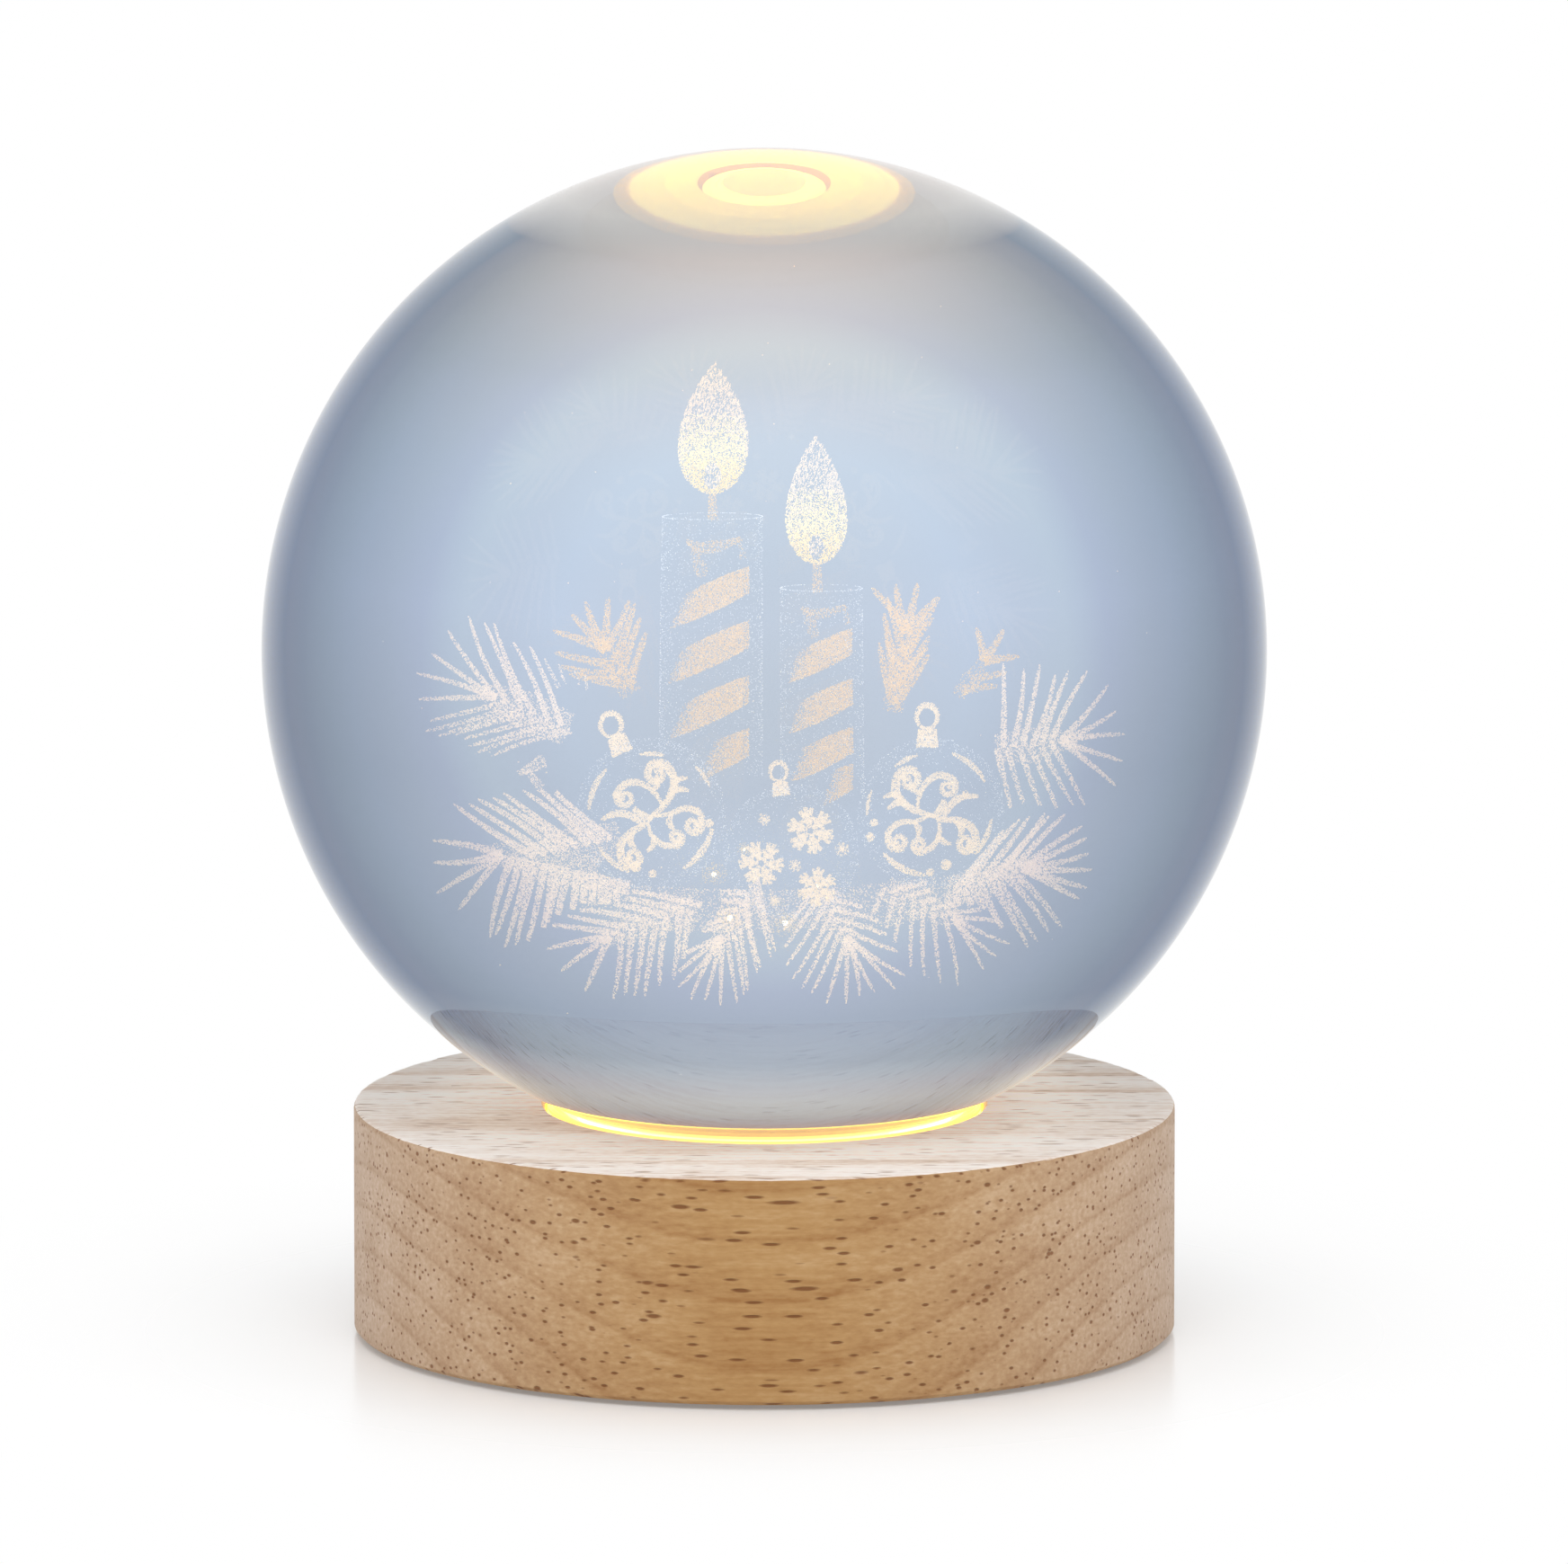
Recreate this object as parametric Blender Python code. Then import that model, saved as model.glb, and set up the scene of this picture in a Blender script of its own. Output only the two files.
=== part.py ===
"""Crystal ball night light: a solid glass ball on a round wooden base with a warm LED.

Metres, +Z up. The origin is on the table, under the middle of the ball, and +Y points to the back,
where the USB-C socket and the push button are. Heights are stacked from the table upwards.
"""

import math

import bmesh
import bpy
from mathutils import Matrix, Vector

# Gaps
SEAT_GAP = 0.0003  # between a piece and the piece that carries it
RUNNING_GAP = 0.0002  # round a piece that turns or slides in a bore
SOLDER_GAP = 0.0001  # solder under a part on a board
THREAD_GAP = 0.0001  # round a screw in its pilot hole
GLUE_GAP = 0.0002  # adhesive between the feet and the cover
PART_SPACING = 0.0007  # between neighbours on the control board
OVERRUN = 0.002  # how far a cutter passes the wall that it cuts
WELD = 1e-6  # points nearer than this are one

# Facets round a full turn
BASE_SEGMENTS = 72
BOARD_SEGMENTS = 40
ROUND_SEGMENTS = 28
SMALL_SEGMENTS = 14

# Glass ball
BALL_RADIUS = 0.0400
BALL_SEGMENTS = 64
BALL_RINGS = 32

# Picture engraved in the ball. Its places and sizes are shares of the ball's radius, and the
# places are counted from the ball's middle to the right, to the back and upwards.
PICTURE_VENT_RADIUS = 0.0004  # opens the picture's hollow under the ball
PICTURE_SEGMENTS = 20
CANDLE_SHARES = (  # right, back, bottom, top and radius
    (-0.07, 0.0, -0.215, 0.18, 0.067),
    (0.075, 0.0, -0.205, 0.08, 0.054),
)
WICK_SHARES = (0.0065, 0.034)  # radius and height
FLAME_SHARES = ((0.048, 0.195), (0.04, 0.177))  # radius and height of each
FLAME_OUTLINE_SHARES = (  # across and up, of the flame's own radius and height
    (0.72, 0.1),
    (1.0, 0.32),
    (0.84, 0.58),
    (0.45, 0.82),
    (0.0, 1.0),
)
BAUBLE_SHARES = (  # right, back, up and radius
    (-0.157, -0.185, -0.21, 0.108),
    (0.035, -0.265, -0.26, 0.1),
    (0.24, -0.185, -0.205, 0.107),
)
BAUBLE_LEANS = (-25, -6, 0)  # of their caps, in degrees
BAUBLE_RINGS = 10
CAP_SHARES = (0.014, 0.02)  # radius and height
HANGER_SHARES = (0.0155, 0.0045)  # radius of the ring and of its wire
HANGER_SEGMENTS = 12
WIRE_SEGMENTS = 6
FIR_BACK_SHARE = -0.065
FIR_THICKNESS_SHARE = 0.0125
BRANCH_WIDTH_SHARE = 0.014
SPRIG_THICKNESS_SHARES = (0.8, 0.64)  # of the branch's thickness, in turn
SPRIG_SHARES = (  # right and up of the stem's foot, then of its tip, and the needles' length
    (0.17, -0.07, 0.195, 0.035, 0.075),
    (0.26, -0.055, 0.3, -0.005, 0.06),
    (0.33, -0.125, 0.41, -0.115, 0.12),
    (0.265, -0.32, 0.355, -0.29, 0.11),
    (0.165, -0.3, 0.255, -0.355, 0.1),
    (0.055, -0.32, 0.105, -0.375, 0.1),
    (-0.04, -0.31, -0.055, -0.38, 0.1),
    (-0.09, -0.32, -0.21, -0.38, 0.1),
    (-0.245, -0.29, -0.365, -0.27, 0.13),
    (-0.265, -0.1, -0.37, -0.055, 0.125),
    (-0.18, -0.05, -0.215, 0.01, 0.08),
)
STEM_WIDTH_SHARE = 0.16  # of the needles' length
NEEDLES_A_SIDE = 4
NEEDLE_SLANT = 42  # degrees off the stem
NEEDLE_FOOT_SHARE = 0.07  # of its length, as half of its foot
TIP_ANGLES = (26, 0, -26)
TIP_NOTCH_SHARE = 0.3  # of the needles' length, between those at the tip

# Seat ring of clear silicone, which the ball rests on
SEAT_RADIUS = 0.0160  # where the glass meets the ring
RING_INNER_WIDTH = 0.0010  # from there to the bore
RING_OUTER_WIDTH = 0.0013  # from there to the outside
RING_HEIGHT = 0.0013  # at the seat radius
RING_EDGE = 0.0003

# Wooden base
BASE_RADIUS = 0.03275
WOOD_EDGE = 0.0003  # sanded corner
RIM_WALL = 0.0050  # wood outside the cover
PILOT_WALL = 0.0010  # wood between a pilot hole and the next space
RING_GROOVE_DEPTH = 0.0020
WEB_THICKNESS = 0.0028  # wood between the light well and the pocket
PILOT_SKIN = 0.0005  # wood left above a pilot hole

# Feet and bottom cover
FOOT_THICKNESS = 0.0008
FOOT_PROUD = 0.0004  # how far the feet lift the wood off the table
FOOT_RADIUS = 0.0045
FOOT_MARGIN = 0.0030  # to the cover's edge
FOOT_ANGLES = (45, 135, 225, 315)
COVER_THICKNESS = 0.0012
COVER_SCREW_ANGLES = (30, 150, 270)
COVER_SCREW_RADIUS = 0.0010
COVER_SCREW_LENGTH = 0.0065
COVER_HEAD_RADIUS = 0.0019
COVER_HEAD_HEIGHT = 0.0008
COVER_HEAD_MARGIN = 0.0004  # to the cover's edge

# Control board
UNDER_BOARD_ROOM = 0.0021  # for the screw heads
BOARD_THICKNESS = 0.0010
BOARD_MARGIN = 0.0006  # to the pocket's wall
BOARD_EDGE = 0.0018  # from the straight edge to the nearest part
BOARD_ARC_POINTS = 24
SPACER_RADIUS = 0.0017
SPACER_BACK = 0.0005  # how far the spacers stand behind the socket
BOARD_SCREW_RADIUS = 0.0009
PAN_HEAD_RADIUS = 0.0016
PAN_HEAD_HEIGHT = 0.0010
PAN_FACE_SHARE = 0.7  # of the head's radius, flat
PAN_SIDE_SHARE = 0.5  # of the head's height, straight
CROSS_SHARE = 0.2  # of the cross's reach, as half of its slots' width
CROSS_REACH_SHARE = 0.6  # of the head's radius
CROSS_DEPTH_SHARE = 0.25  # of the head's radius
CHIP_SIZE = (0.0039, 0.0049, 0.0014)
CHIP_SHIFT = 0.0030  # to the button's side
LEG_LENGTH = 0.0010
LEG_SIZE = (0.0004, 0.0002)
LEG_LIFT = 0.0001  # over the solder
LEG_PITCH = 0.00127
LEGS_A_SIDE = 4
RESISTOR_SIZE = (0.0020, 0.0012, 0.0005)
RESISTOR_COUNT = 3
CAPACITOR_SIZE = (0.0032, 0.0016, 0.0016)

# USB-C socket
USB_WIDTH = 0.00894
USB_HEIGHT = 0.00326
USB_LENGTH = 0.00735
USB_WALL = 0.0003
USB_PROUD = 0.0003  # in front of the port's floor
USB_BACK_LENGTH = 0.0022  # insulator that closes the back
TONGUE_WIDTH = 0.00669
TONGUE_THICKNESS = 0.0007
TONGUE_RECESS = 0.0006  # behind the socket's mouth
STADIUM_POINTS = 8

# Port in the wood for the plug
PORT_WIDTH = 0.0132
PORT_HEIGHT = 0.0068
PORT_CORNER = 0.0015
LIP_THICKNESS = 0.0016  # wood round the socket
CORNER_POINTS = 5

# Push button
SWITCH_SIZE = (0.0046, 0.0046, 0.0034)
SWITCH_MARGIN = 0.0003  # to the board's edge
SWITCH_BACK_WALL = 0.0012
PLUNGER_RADIUS = 0.0009
PLUNGER_SHARE = 0.45  # of the bore's depth that it fills, while the button is out
BUTTON_RADIUS = 0.0028
BUTTON_PROUD = 0.0013
BUTTON_TRAVEL = 0.0010
BUTTON_DOME = 0.0005
DOME_SHARES = ((1.0, 0.0), (0.93, 0.5), (0.72, 0.85), (0.4, 1.0))  # of its radius and rise
FLANGE_WIDTH = 0.0009
FLANGE_THICKNESS = 0.0010
SHOULDER_DEPTH = 0.0007  # wood that holds the flange, past the pocket's wall
SPRING_WIRE_RADIUS = 0.00011
SPRING_TURNS = 3.5
SPRING_POINTS = 8

# LED board and lens
WIRING_ROOM = 0.0024  # between the two boards
LED_BOARD_THICKNESS = 0.0012
LED_SIZE = (0.0016, 0.0020, 0.0007)
LED_CIRCLE = 0.0020
LED_ANGLES = (90, 210, 330)
LED_SCREW_ANGLES = (200, 340)
LED_SCREW_RADIUS = 0.0007
LED_HEAD_RADIUS = 0.0012
LED_HEAD_HEIGHT = 0.0008
LED_HEAD_MARGIN = 0.0008  # to the board's edge
LENS_CLEARANCE = 0.0006  # round the LEDs
LENS_FLANGE_WIDTH = 0.0008
LENS_FLANGE_HEIGHT = 0.0010
LENS_HOLLOW_ROOM = 0.0002  # over the LEDs
LENS_WALL = 0.0006  # round the hollow that holds them
LENS_RISE = 0.0019  # of the dome, over the well's floor
BALL_TO_LENS = 0.0012
DOME_POINTS = 7

# Leads between the boards
LEAD_RADIUS = 0.00055
LEAD_PITCH = 0.0026  # square to their run
LEAD_START = (-0.0100, 0.0030)  # of the red one, from the middle of the straight edge
LEAD_END = (-0.0040, 0.0035)  # of the red one, on the LED board
LEAD_STRAIGHT = 0.0016  # how long it runs square to each board
LEAD_POINTS = 16

# Heights, from the table upwards
wood_bottom = FOOT_PROUD
cover_bottom = FOOT_THICKNESS + GLUE_GAP
cover_top = cover_bottom + COVER_THICKNESS
ledge = cover_top + SEAT_GAP
board_bottom = cover_top + UNDER_BOARD_ROOM
board_top = board_bottom + BOARD_THICKNESS
parts_bottom = board_top + SOLDER_GAP
tallest_part = max(USB_HEIGHT, SWITCH_SIZE[2], WIRING_ROOM + LED_BOARD_THICKNESS)
pocket_top = board_top + tallest_part + SEAT_GAP
led_board_top = pocket_top - SEAT_GAP
led_board_bottom = led_board_top - LED_BOARD_THICKNESS
well_floor = pocket_top + WEB_THICKNESS
pilot_depth = WEB_THICKNESS - PILOT_SKIN
pilot_reach = pilot_depth - SEAT_GAP
lens_top = well_floor + LENS_RISE
ball_bottom = lens_top + BALL_TO_LENS
ball_centre = ball_bottom + BALL_RADIUS
lowest_sprig_share = min(tip_up for _, _, _, tip_up, _ in SPRIG_SHARES)
seat_height = ball_centre - math.sqrt((BALL_RADIUS + SEAT_GAP) ** 2 - SEAT_RADIUS**2)
ring_bottom = seat_height - RING_HEIGHT
groove_floor = ring_bottom - SEAT_GAP
wood_top = groove_floor + RING_GROOVE_DEPTH
usb_middle = parts_bottom + USB_HEIGHT / 2
switch_middle = parts_bottom + SWITCH_SIZE[2] / 2

# Distances from the axis
ring_inner = SEAT_RADIUS - RING_INNER_WIDTH
ring_outer = SEAT_RADIUS + RING_OUTER_WIDTH
groove_radius = ring_outer + RUNNING_GAP
recess_radius = BASE_RADIUS - RIM_WALL
cover_radius = recess_radius - SEAT_GAP
foot_circle = cover_radius - FOOT_MARGIN - FOOT_RADIUS
cover_screw_circle = cover_radius - COVER_HEAD_MARGIN - COVER_HEAD_RADIUS
pocket_radius = cover_screw_circle - COVER_SCREW_RADIUS - THREAD_GAP - PILOT_WALL
board_radius = pocket_radius - BOARD_MARGIN
led_reach = math.hypot(LED_CIRCLE + LED_SIZE[0] / 2, LED_SIZE[1] / 2)
lens_hollow = led_reach + LENS_CLEARANCE
lens_radius = lens_hollow + LENS_WALL
lens_bore = lens_radius + RUNNING_GAP
flange_radius = lens_radius + LENS_FLANGE_WIDTH
led_screw_circle = flange_radius + RUNNING_GAP + PILOT_WALL + THREAD_GAP + LED_SCREW_RADIUS
led_board_radius = led_screw_circle + LED_HEAD_RADIUS + LED_HEAD_MARGIN

# Places on the control board, in x and y
port_floor = pocket_radius + LIP_THICKNESS
usb_mouth = port_floor + USB_PROUD
usb_back = usb_mouth - USB_LENGTH
spacer_x = USB_WIDTH / 2 + PART_SPACING + SPACER_RADIUS
spacer_y = usb_back - SPACER_BACK
capacitor_y = usb_back - PART_SPACING - CAPACITOR_SIZE[1] / 2
chip_y = capacitor_y - CAPACITOR_SIZE[1] / 2 - PART_SPACING - CHIP_SIZE[1] / 2
leg_reach = CHIP_SIZE[0] / 2 + LEG_LENGTH
resistor_x = CHIP_SHIFT - leg_reach - PART_SPACING - RESISTOR_SIZE[0] / 2
board_front = chip_y - CHIP_SIZE[1] / 2 - BOARD_EDGE
button_x = spacer_x + SPACER_RADIUS + PART_SPACING + SWITCH_SIZE[0] / 2
switch_side = button_x + SWITCH_SIZE[0] / 2
switch_front = math.sqrt(board_radius**2 - switch_side**2) - SWITCH_MARGIN
button_flange = BUTTON_RADIUS + FLANGE_WIDTH
flange_bore = button_flange + RUNNING_GAP
shoulder = math.sqrt(pocket_radius**2 - (button_x - flange_bore) ** 2) + SHOULDER_DEPTH
flange_front = shoulder - SEAT_GAP
flange_back = flange_front - FLANGE_THICKNESS
button_end = math.sqrt(BASE_RADIUS**2 - button_x**2) + BUTTON_PROUD
notch_side = button_x - flange_bore
notch_front = flange_back - BUTTON_TRAVEL - RUNNING_GAP
switch_bore = SWITCH_SIZE[1] - SWITCH_BACK_WALL


def colour(code):
    """A linear RGBA colour from an sRGB hex code."""
    channels = [int(code[i : i + 2], 16) / 255 for i in (0, 2, 4)]
    linear = [c / 12.92 if c <= 0.04045 else ((c + 0.055) / 1.055) ** 2.4 for c in channels]
    return (*linear, 1.0)


def material(name, code, roughness, metallic=0.0, transmission=0.0, glow=0.0):
    look = bpy.data.materials.new(name)
    look.use_nodes = True
    shader = look.node_tree.nodes["Principled BSDF"]
    shader.inputs["Base Color"].default_value = colour(code)
    shader.inputs["Roughness"].default_value = roughness
    shader.inputs["Metallic"].default_value = metallic
    shader.inputs["Transmission Weight"].default_value = transmission
    shader.inputs["Emission Color"].default_value = colour(code)
    shader.inputs["Emission Strength"].default_value = glow
    return look


def on_circle(radius, degrees):
    angle = math.radians(degrees)
    return (radius * math.cos(angle), radius * math.sin(angle))


def finished(name, bm, look):
    """An object of its own from a bmesh, shaded smooth where it is round."""
    bmesh.ops.remove_doubles(bm, verts=bm.verts, dist=WELD)
    bmesh.ops.recalc_face_normals(bm, faces=bm.faces)
    mesh = bpy.data.meshes.new(name)
    bm.to_mesh(mesh)
    bm.free()
    if look:
        mesh.materials.append(look)
    mesh.shade_smooth()
    mesh.set_sharp_from_angle(angle=math.radians(35))
    made = bpy.data.objects.new(name, mesh)
    bpy.context.scene.collection.objects.link(made)
    return made


def add_turned(bm, profile, segments, place, closed):
    """Adds a solid turned about Z from (radius, height) points, as a loop if it is closed."""
    old = set(bm.verts)
    verts = [bm.verts.new((radius, 0.0, height)) for radius, height in profile]
    ends = verts[1:] + verts[:1] if closed else verts[1:]
    edges = [bm.edges.new(pair) for pair in zip(verts, ends)]
    bmesh.ops.spin(
        bm,
        geom=verts + edges,
        cent=(0.0, 0.0, 0.0),
        axis=(0.0, 0.0, 1.0),
        angle=math.tau,
        steps=segments,
        use_merge=True,
    )
    bmesh.ops.remove_doubles(bm, verts=[v for v in bm.verts if v not in old], dist=WELD)
    bmesh.ops.translate(bm, verts=[v for v in bm.verts if v not in old], vec=place)


def turned(name, profile, segments, look, places=((0.0, 0.0, 0.0),), closed=False):
    """One turned solid at each place, as one object."""
    bm = bmesh.new()
    for place in places:
        add_turned(bm, profile, segments, place, closed)
    return finished(name, bm, look)


def rods(name, radius, length, segments, look, places):
    """A plain cylinder standing on each place."""
    profile = [(0.0, 0.0), (radius, 0.0), (radius, length), (0.0, length)]
    return turned(name, profile, segments, look, places)


def add_block(bm, size, middle, degrees=0.0):
    """Adds a block, turned about the Z axis of the scene once it is in place."""
    made = bmesh.ops.create_cube(bm, size=1.0)["verts"]
    bmesh.ops.scale(bm, verts=made, vec=size)
    bmesh.ops.translate(bm, verts=made, vec=middle)
    turn = Matrix.Rotation(math.radians(degrees), 3, "Z")
    bmesh.ops.rotate(bm, verts=made, cent=(0.0, 0.0, 0.0), matrix=turn)


def block(name, size, middle, look, degrees=0.0):
    bm = bmesh.new()
    add_block(bm, size, middle, degrees)
    return finished(name, bm, look)


def copies(name, made, places):
    """Numbered copies of a piece, one at each place, which share its finished mesh."""
    bpy.context.view_layer.update()
    graph = bpy.context.evaluated_depsgraph_get()
    mesh = bpy.data.meshes.new_from_object(made.evaluated_get(graph))
    bpy.data.objects.remove(made)
    for number, place in enumerate(places, 1):
        copy = bpy.data.objects.new(f"{name}_{number}", mesh)
        copy.location = place
        bpy.context.scene.collection.objects.link(copy)


def prism(name, outline, length, look, places=((0.0, 0.0, 0.0),)):
    """A solid that stands on each place, from (x, y) points."""
    bm = bmesh.new()
    for x, y, z in places:
        face = bm.faces.new([bm.verts.new((x + a, y + b, z)) for a, b in outline])
        pushed = bmesh.ops.extrude_face_region(bm, geom=[face])["geom"]
        moved = [v for v in pushed if isinstance(v, bmesh.types.BMVert)]
        bmesh.ops.translate(bm, verts=moved, vec=(0.0, 0.0, length))
    return finished(name, bm, look)


def arc(middle, radius, start, end, points):
    """Points along an arc, from one angle to another in degrees."""
    steps = [start + (end - start) * i / (points - 1) for i in range(points)]
    angles = [math.radians(step) for step in steps]
    return [(middle[0] + radius * math.cos(a), middle[1] + radius * math.sin(a)) for a in angles]


def rounded_outline(width, height, corner, points):
    """A rectangle about the origin with round corners."""
    x, y = width / 2 - corner, height / 2 - corner
    corners = (((x, y), 0), ((-x, y), 90), ((-x, -y), 180), ((x, -y), 270))
    return [p for middle, start in corners for p in arc(middle, corner, start, start + 90, points)]


def stadium(width, height):
    """A slot with round ends."""
    half = height / 2
    x = width / 2 - half
    right = arc((x, 0.0), half, -90, 90, STADIUM_POINTS)
    return right + arc((-x, 0.0), half, 90, 270, STADIUM_POINTS)


def cross_outline(reach):
    """The cross in a screw's head."""
    arm = CROSS_SHARE * reach
    corner = [(reach, -arm), (reach, arm), (arm, arm)]
    turns = [(1, 0), (0, 1), (-1, 0), (0, -1)]
    return [(x * c - y * s, x * s + y * c) for c, s in turns for x, y in corner]


def facing_back(made, x, y, z):
    """Turns a piece made along +Z so that it runs along +Y from y, with its X still on X."""
    made.rotation_euler = (-math.pi / 2, 0.0, 0.0)
    made.location = (x, y, z)
    return made


def bored(made, cutter, operation="DIFFERENCE"):
    """Cuts, or joins, one solid with another, which is then only a helper."""
    cutter.hide_render = True
    cutter.display_type = "WIRE"
    change = made.modifiers.new(cutter.name, "BOOLEAN")
    change.operation = operation
    change.object = cutter
    return made


def through_holes(made, screw_radius, bottom, thickness, places):
    """Clearance holes for screws, right through a board."""
    radius = screw_radius + THREAD_GAP
    below = [(x, y, bottom - OVERRUN) for x, y in places]
    length = thickness + 2 * OVERRUN
    holes = rods(made.name + "_holes", radius, length, SMALL_SEGMENTS, None, below)
    return bored(made, holes)


def pilot_holes(made, screw_radius, bottom, depth, places):
    """Blind holes in the wood, open downwards."""
    radius = screw_radius + THREAD_GAP
    below = [(x, y, bottom - OVERRUN) for x, y in places]
    holes = rods("pilot_holes", radius, depth + OVERRUN, SMALL_SEGMENTS, None, below)
    return bored(made, holes)


def cover_screw_places():
    return [on_circle(cover_screw_circle, angle) for angle in COVER_SCREW_ANGLES]


def spacer_places():
    return [(side * spacer_x, spacer_y) for side in (-1, 1)]


def led_screw_places():
    return [on_circle(led_screw_circle, angle) for angle in LED_SCREW_ANGLES]


def wooden_base(look):
    """The turned block: the ring's groove and the light well above, and the pocket below."""
    flange_bore_radius = flange_radius + RUNNING_GAP
    flange_bore_top = pocket_top + LENS_FLANGE_HEIGHT
    profile = [
        (flange_bore_radius, pocket_top),
        (flange_bore_radius, flange_bore_top),
        (lens_bore, flange_bore_top),
        (lens_bore, well_floor),
        (ring_inner, well_floor),
        (ring_inner, groove_floor),
        (groove_radius, groove_floor),
        (groove_radius, wood_top - WOOD_EDGE),
        (groove_radius + WOOD_EDGE, wood_top),
        (BASE_RADIUS - WOOD_EDGE, wood_top),
        (BASE_RADIUS, wood_top - WOOD_EDGE),
        (BASE_RADIUS, wood_bottom + WOOD_EDGE),
        (BASE_RADIUS - WOOD_EDGE, wood_bottom),
        (recess_radius, wood_bottom),
        (recess_radius, ledge),
        (pocket_radius, ledge),
        (pocket_radius, pocket_top),
    ]
    base = turned("wooden_base", profile, BASE_SEGMENTS, look, closed=True)
    bored(base, port_cutter())
    bored(base, socket_cutter())
    bored(base, button_cutter())
    cover_hole = COVER_SCREW_LENGTH - (ledge - cover_bottom) + SEAT_GAP
    pilot_holes(base, COVER_SCREW_RADIUS, ledge, cover_hole, cover_screw_places())
    pilot_holes(base, BOARD_SCREW_RADIUS, pocket_top, pilot_depth, spacer_places())
    return pilot_holes(base, LED_SCREW_RADIUS, pocket_top, pilot_depth, led_screw_places())


def port_cutter():
    """Room for the plug's body, from outside to the lip round the socket."""
    outline = rounded_outline(PORT_WIDTH, PORT_HEIGHT, PORT_CORNER, CORNER_POINTS)
    cutter = prism("port_cutter", outline, BASE_RADIUS + OVERRUN - port_floor, None)
    return facing_back(cutter, 0.0, port_floor, usb_middle)


def socket_cutter():
    """The hole in the lip, which the socket's shell passes through."""
    outline = stadium(USB_WIDTH + 2 * SEAT_GAP, USB_HEIGHT + 2 * SEAT_GAP)
    cutter = prism("socket_cutter", outline, port_floor + OVERRUN - usb_back, None)
    return facing_back(cutter, 0.0, usb_back, usb_middle)


def button_cutter():
    """The bore for the cap, and the wider one for its flange on the pocket's side."""
    hole = BUTTON_RADIUS + RUNNING_GAP
    length = BASE_RADIUS + OVERRUN - switch_front
    step = shoulder - switch_front
    wide = [(0.0, 0.0), (flange_bore, 0.0), (flange_bore, step)]
    narrow = [(hole, step), (hole, length), (0.0, length)]
    cutter = turned("button_cutter", wide + narrow, ROUND_SEGMENTS, None)
    return facing_back(cutter, button_x, switch_front, switch_middle)


def crystal_ball(glass, engraving):
    """The solid glass ball, with its origin at its middle, and the picture in it."""
    bm = bmesh.new()
    bmesh.ops.create_uvsphere(
        bm, u_segments=BALL_SEGMENTS, v_segments=BALL_RINGS, radius=BALL_RADIUS
    )
    ball = finished("crystal_ball", bm, glass)
    ball.location = (0.0, 0.0, ball_centre)
    picture = [engraved_fir(engraving)]
    picture += engraved_candles(engraving) + engraved_baubles(engraving)
    for piece in picture:
        piece.parent = ball
    for piece in picture:
        bored(ball, grown_hull(piece))
    length = OVERRUN + BALL_RADIUS * (1.0 + lowest_sprig_share)
    foot = (0.0, FIR_BACK_SHARE * BALL_RADIUS, ball_bottom - OVERRUN)
    return bored(ball, rods("vent", PICTURE_VENT_RADIUS, length, SMALL_SEGMENTS, None, [foot]))


def grown_hull(piece):
    """The room that a piece of the picture has in the glass: its hull, and a gap all round."""
    bpy.context.view_layer.update()
    graph = bpy.context.evaluated_depsgraph_get()
    mesh = bpy.data.meshes.new_from_object(piece.evaluated_get(graph))
    bm = bmesh.new()
    for vert in mesh.vertices:
        bm.verts.new(piece.matrix_world @ vert.co)
    bmesh.ops.convex_hull(bm, input=bm.verts)
    inner = [vert for vert in bm.verts if not vert.link_faces]
    bmesh.ops.delete(bm, geom=inner, context="VERTS")
    bmesh.ops.recalc_face_normals(bm, faces=bm.faces)
    bm.normal_update()
    moves = [(vert, vert.normal * vert.calc_shell_factor() * SEAT_GAP) for vert in bm.verts]
    for vert, move in moves:
        vert.co += move
    return finished(piece.name + "_room", bm, None)


def engraved_candles(look):
    """Two candles with their wicks and flames."""
    wick_radius, wick_height = (share * BALL_RADIUS for share in WICK_SHARES)
    made = []
    for number, (candle, flame) in enumerate(zip(CANDLE_SHARES, FLAME_SHARES), 1):
        right, back, bottom, top, radius = (share * BALL_RADIUS for share in candle)
        flame_radius, flame_height = (share * BALL_RADIUS for share in flame)
        flame_foot = top + wick_height
        profile = [(0.0, bottom), (radius, bottom), (radius, top)]
        profile += [(wick_radius, top), (wick_radius, flame_foot)]
        for across, up in FLAME_OUTLINE_SHARES:
            profile.append((across * flame_radius, flame_foot + up * flame_height))
        name = f"engraved_candle_{number}"
        made.append(turned(name, profile, PICTURE_SEGMENTS, look))
        made[-1].location = (right, back, 0.0)
    return made


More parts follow.
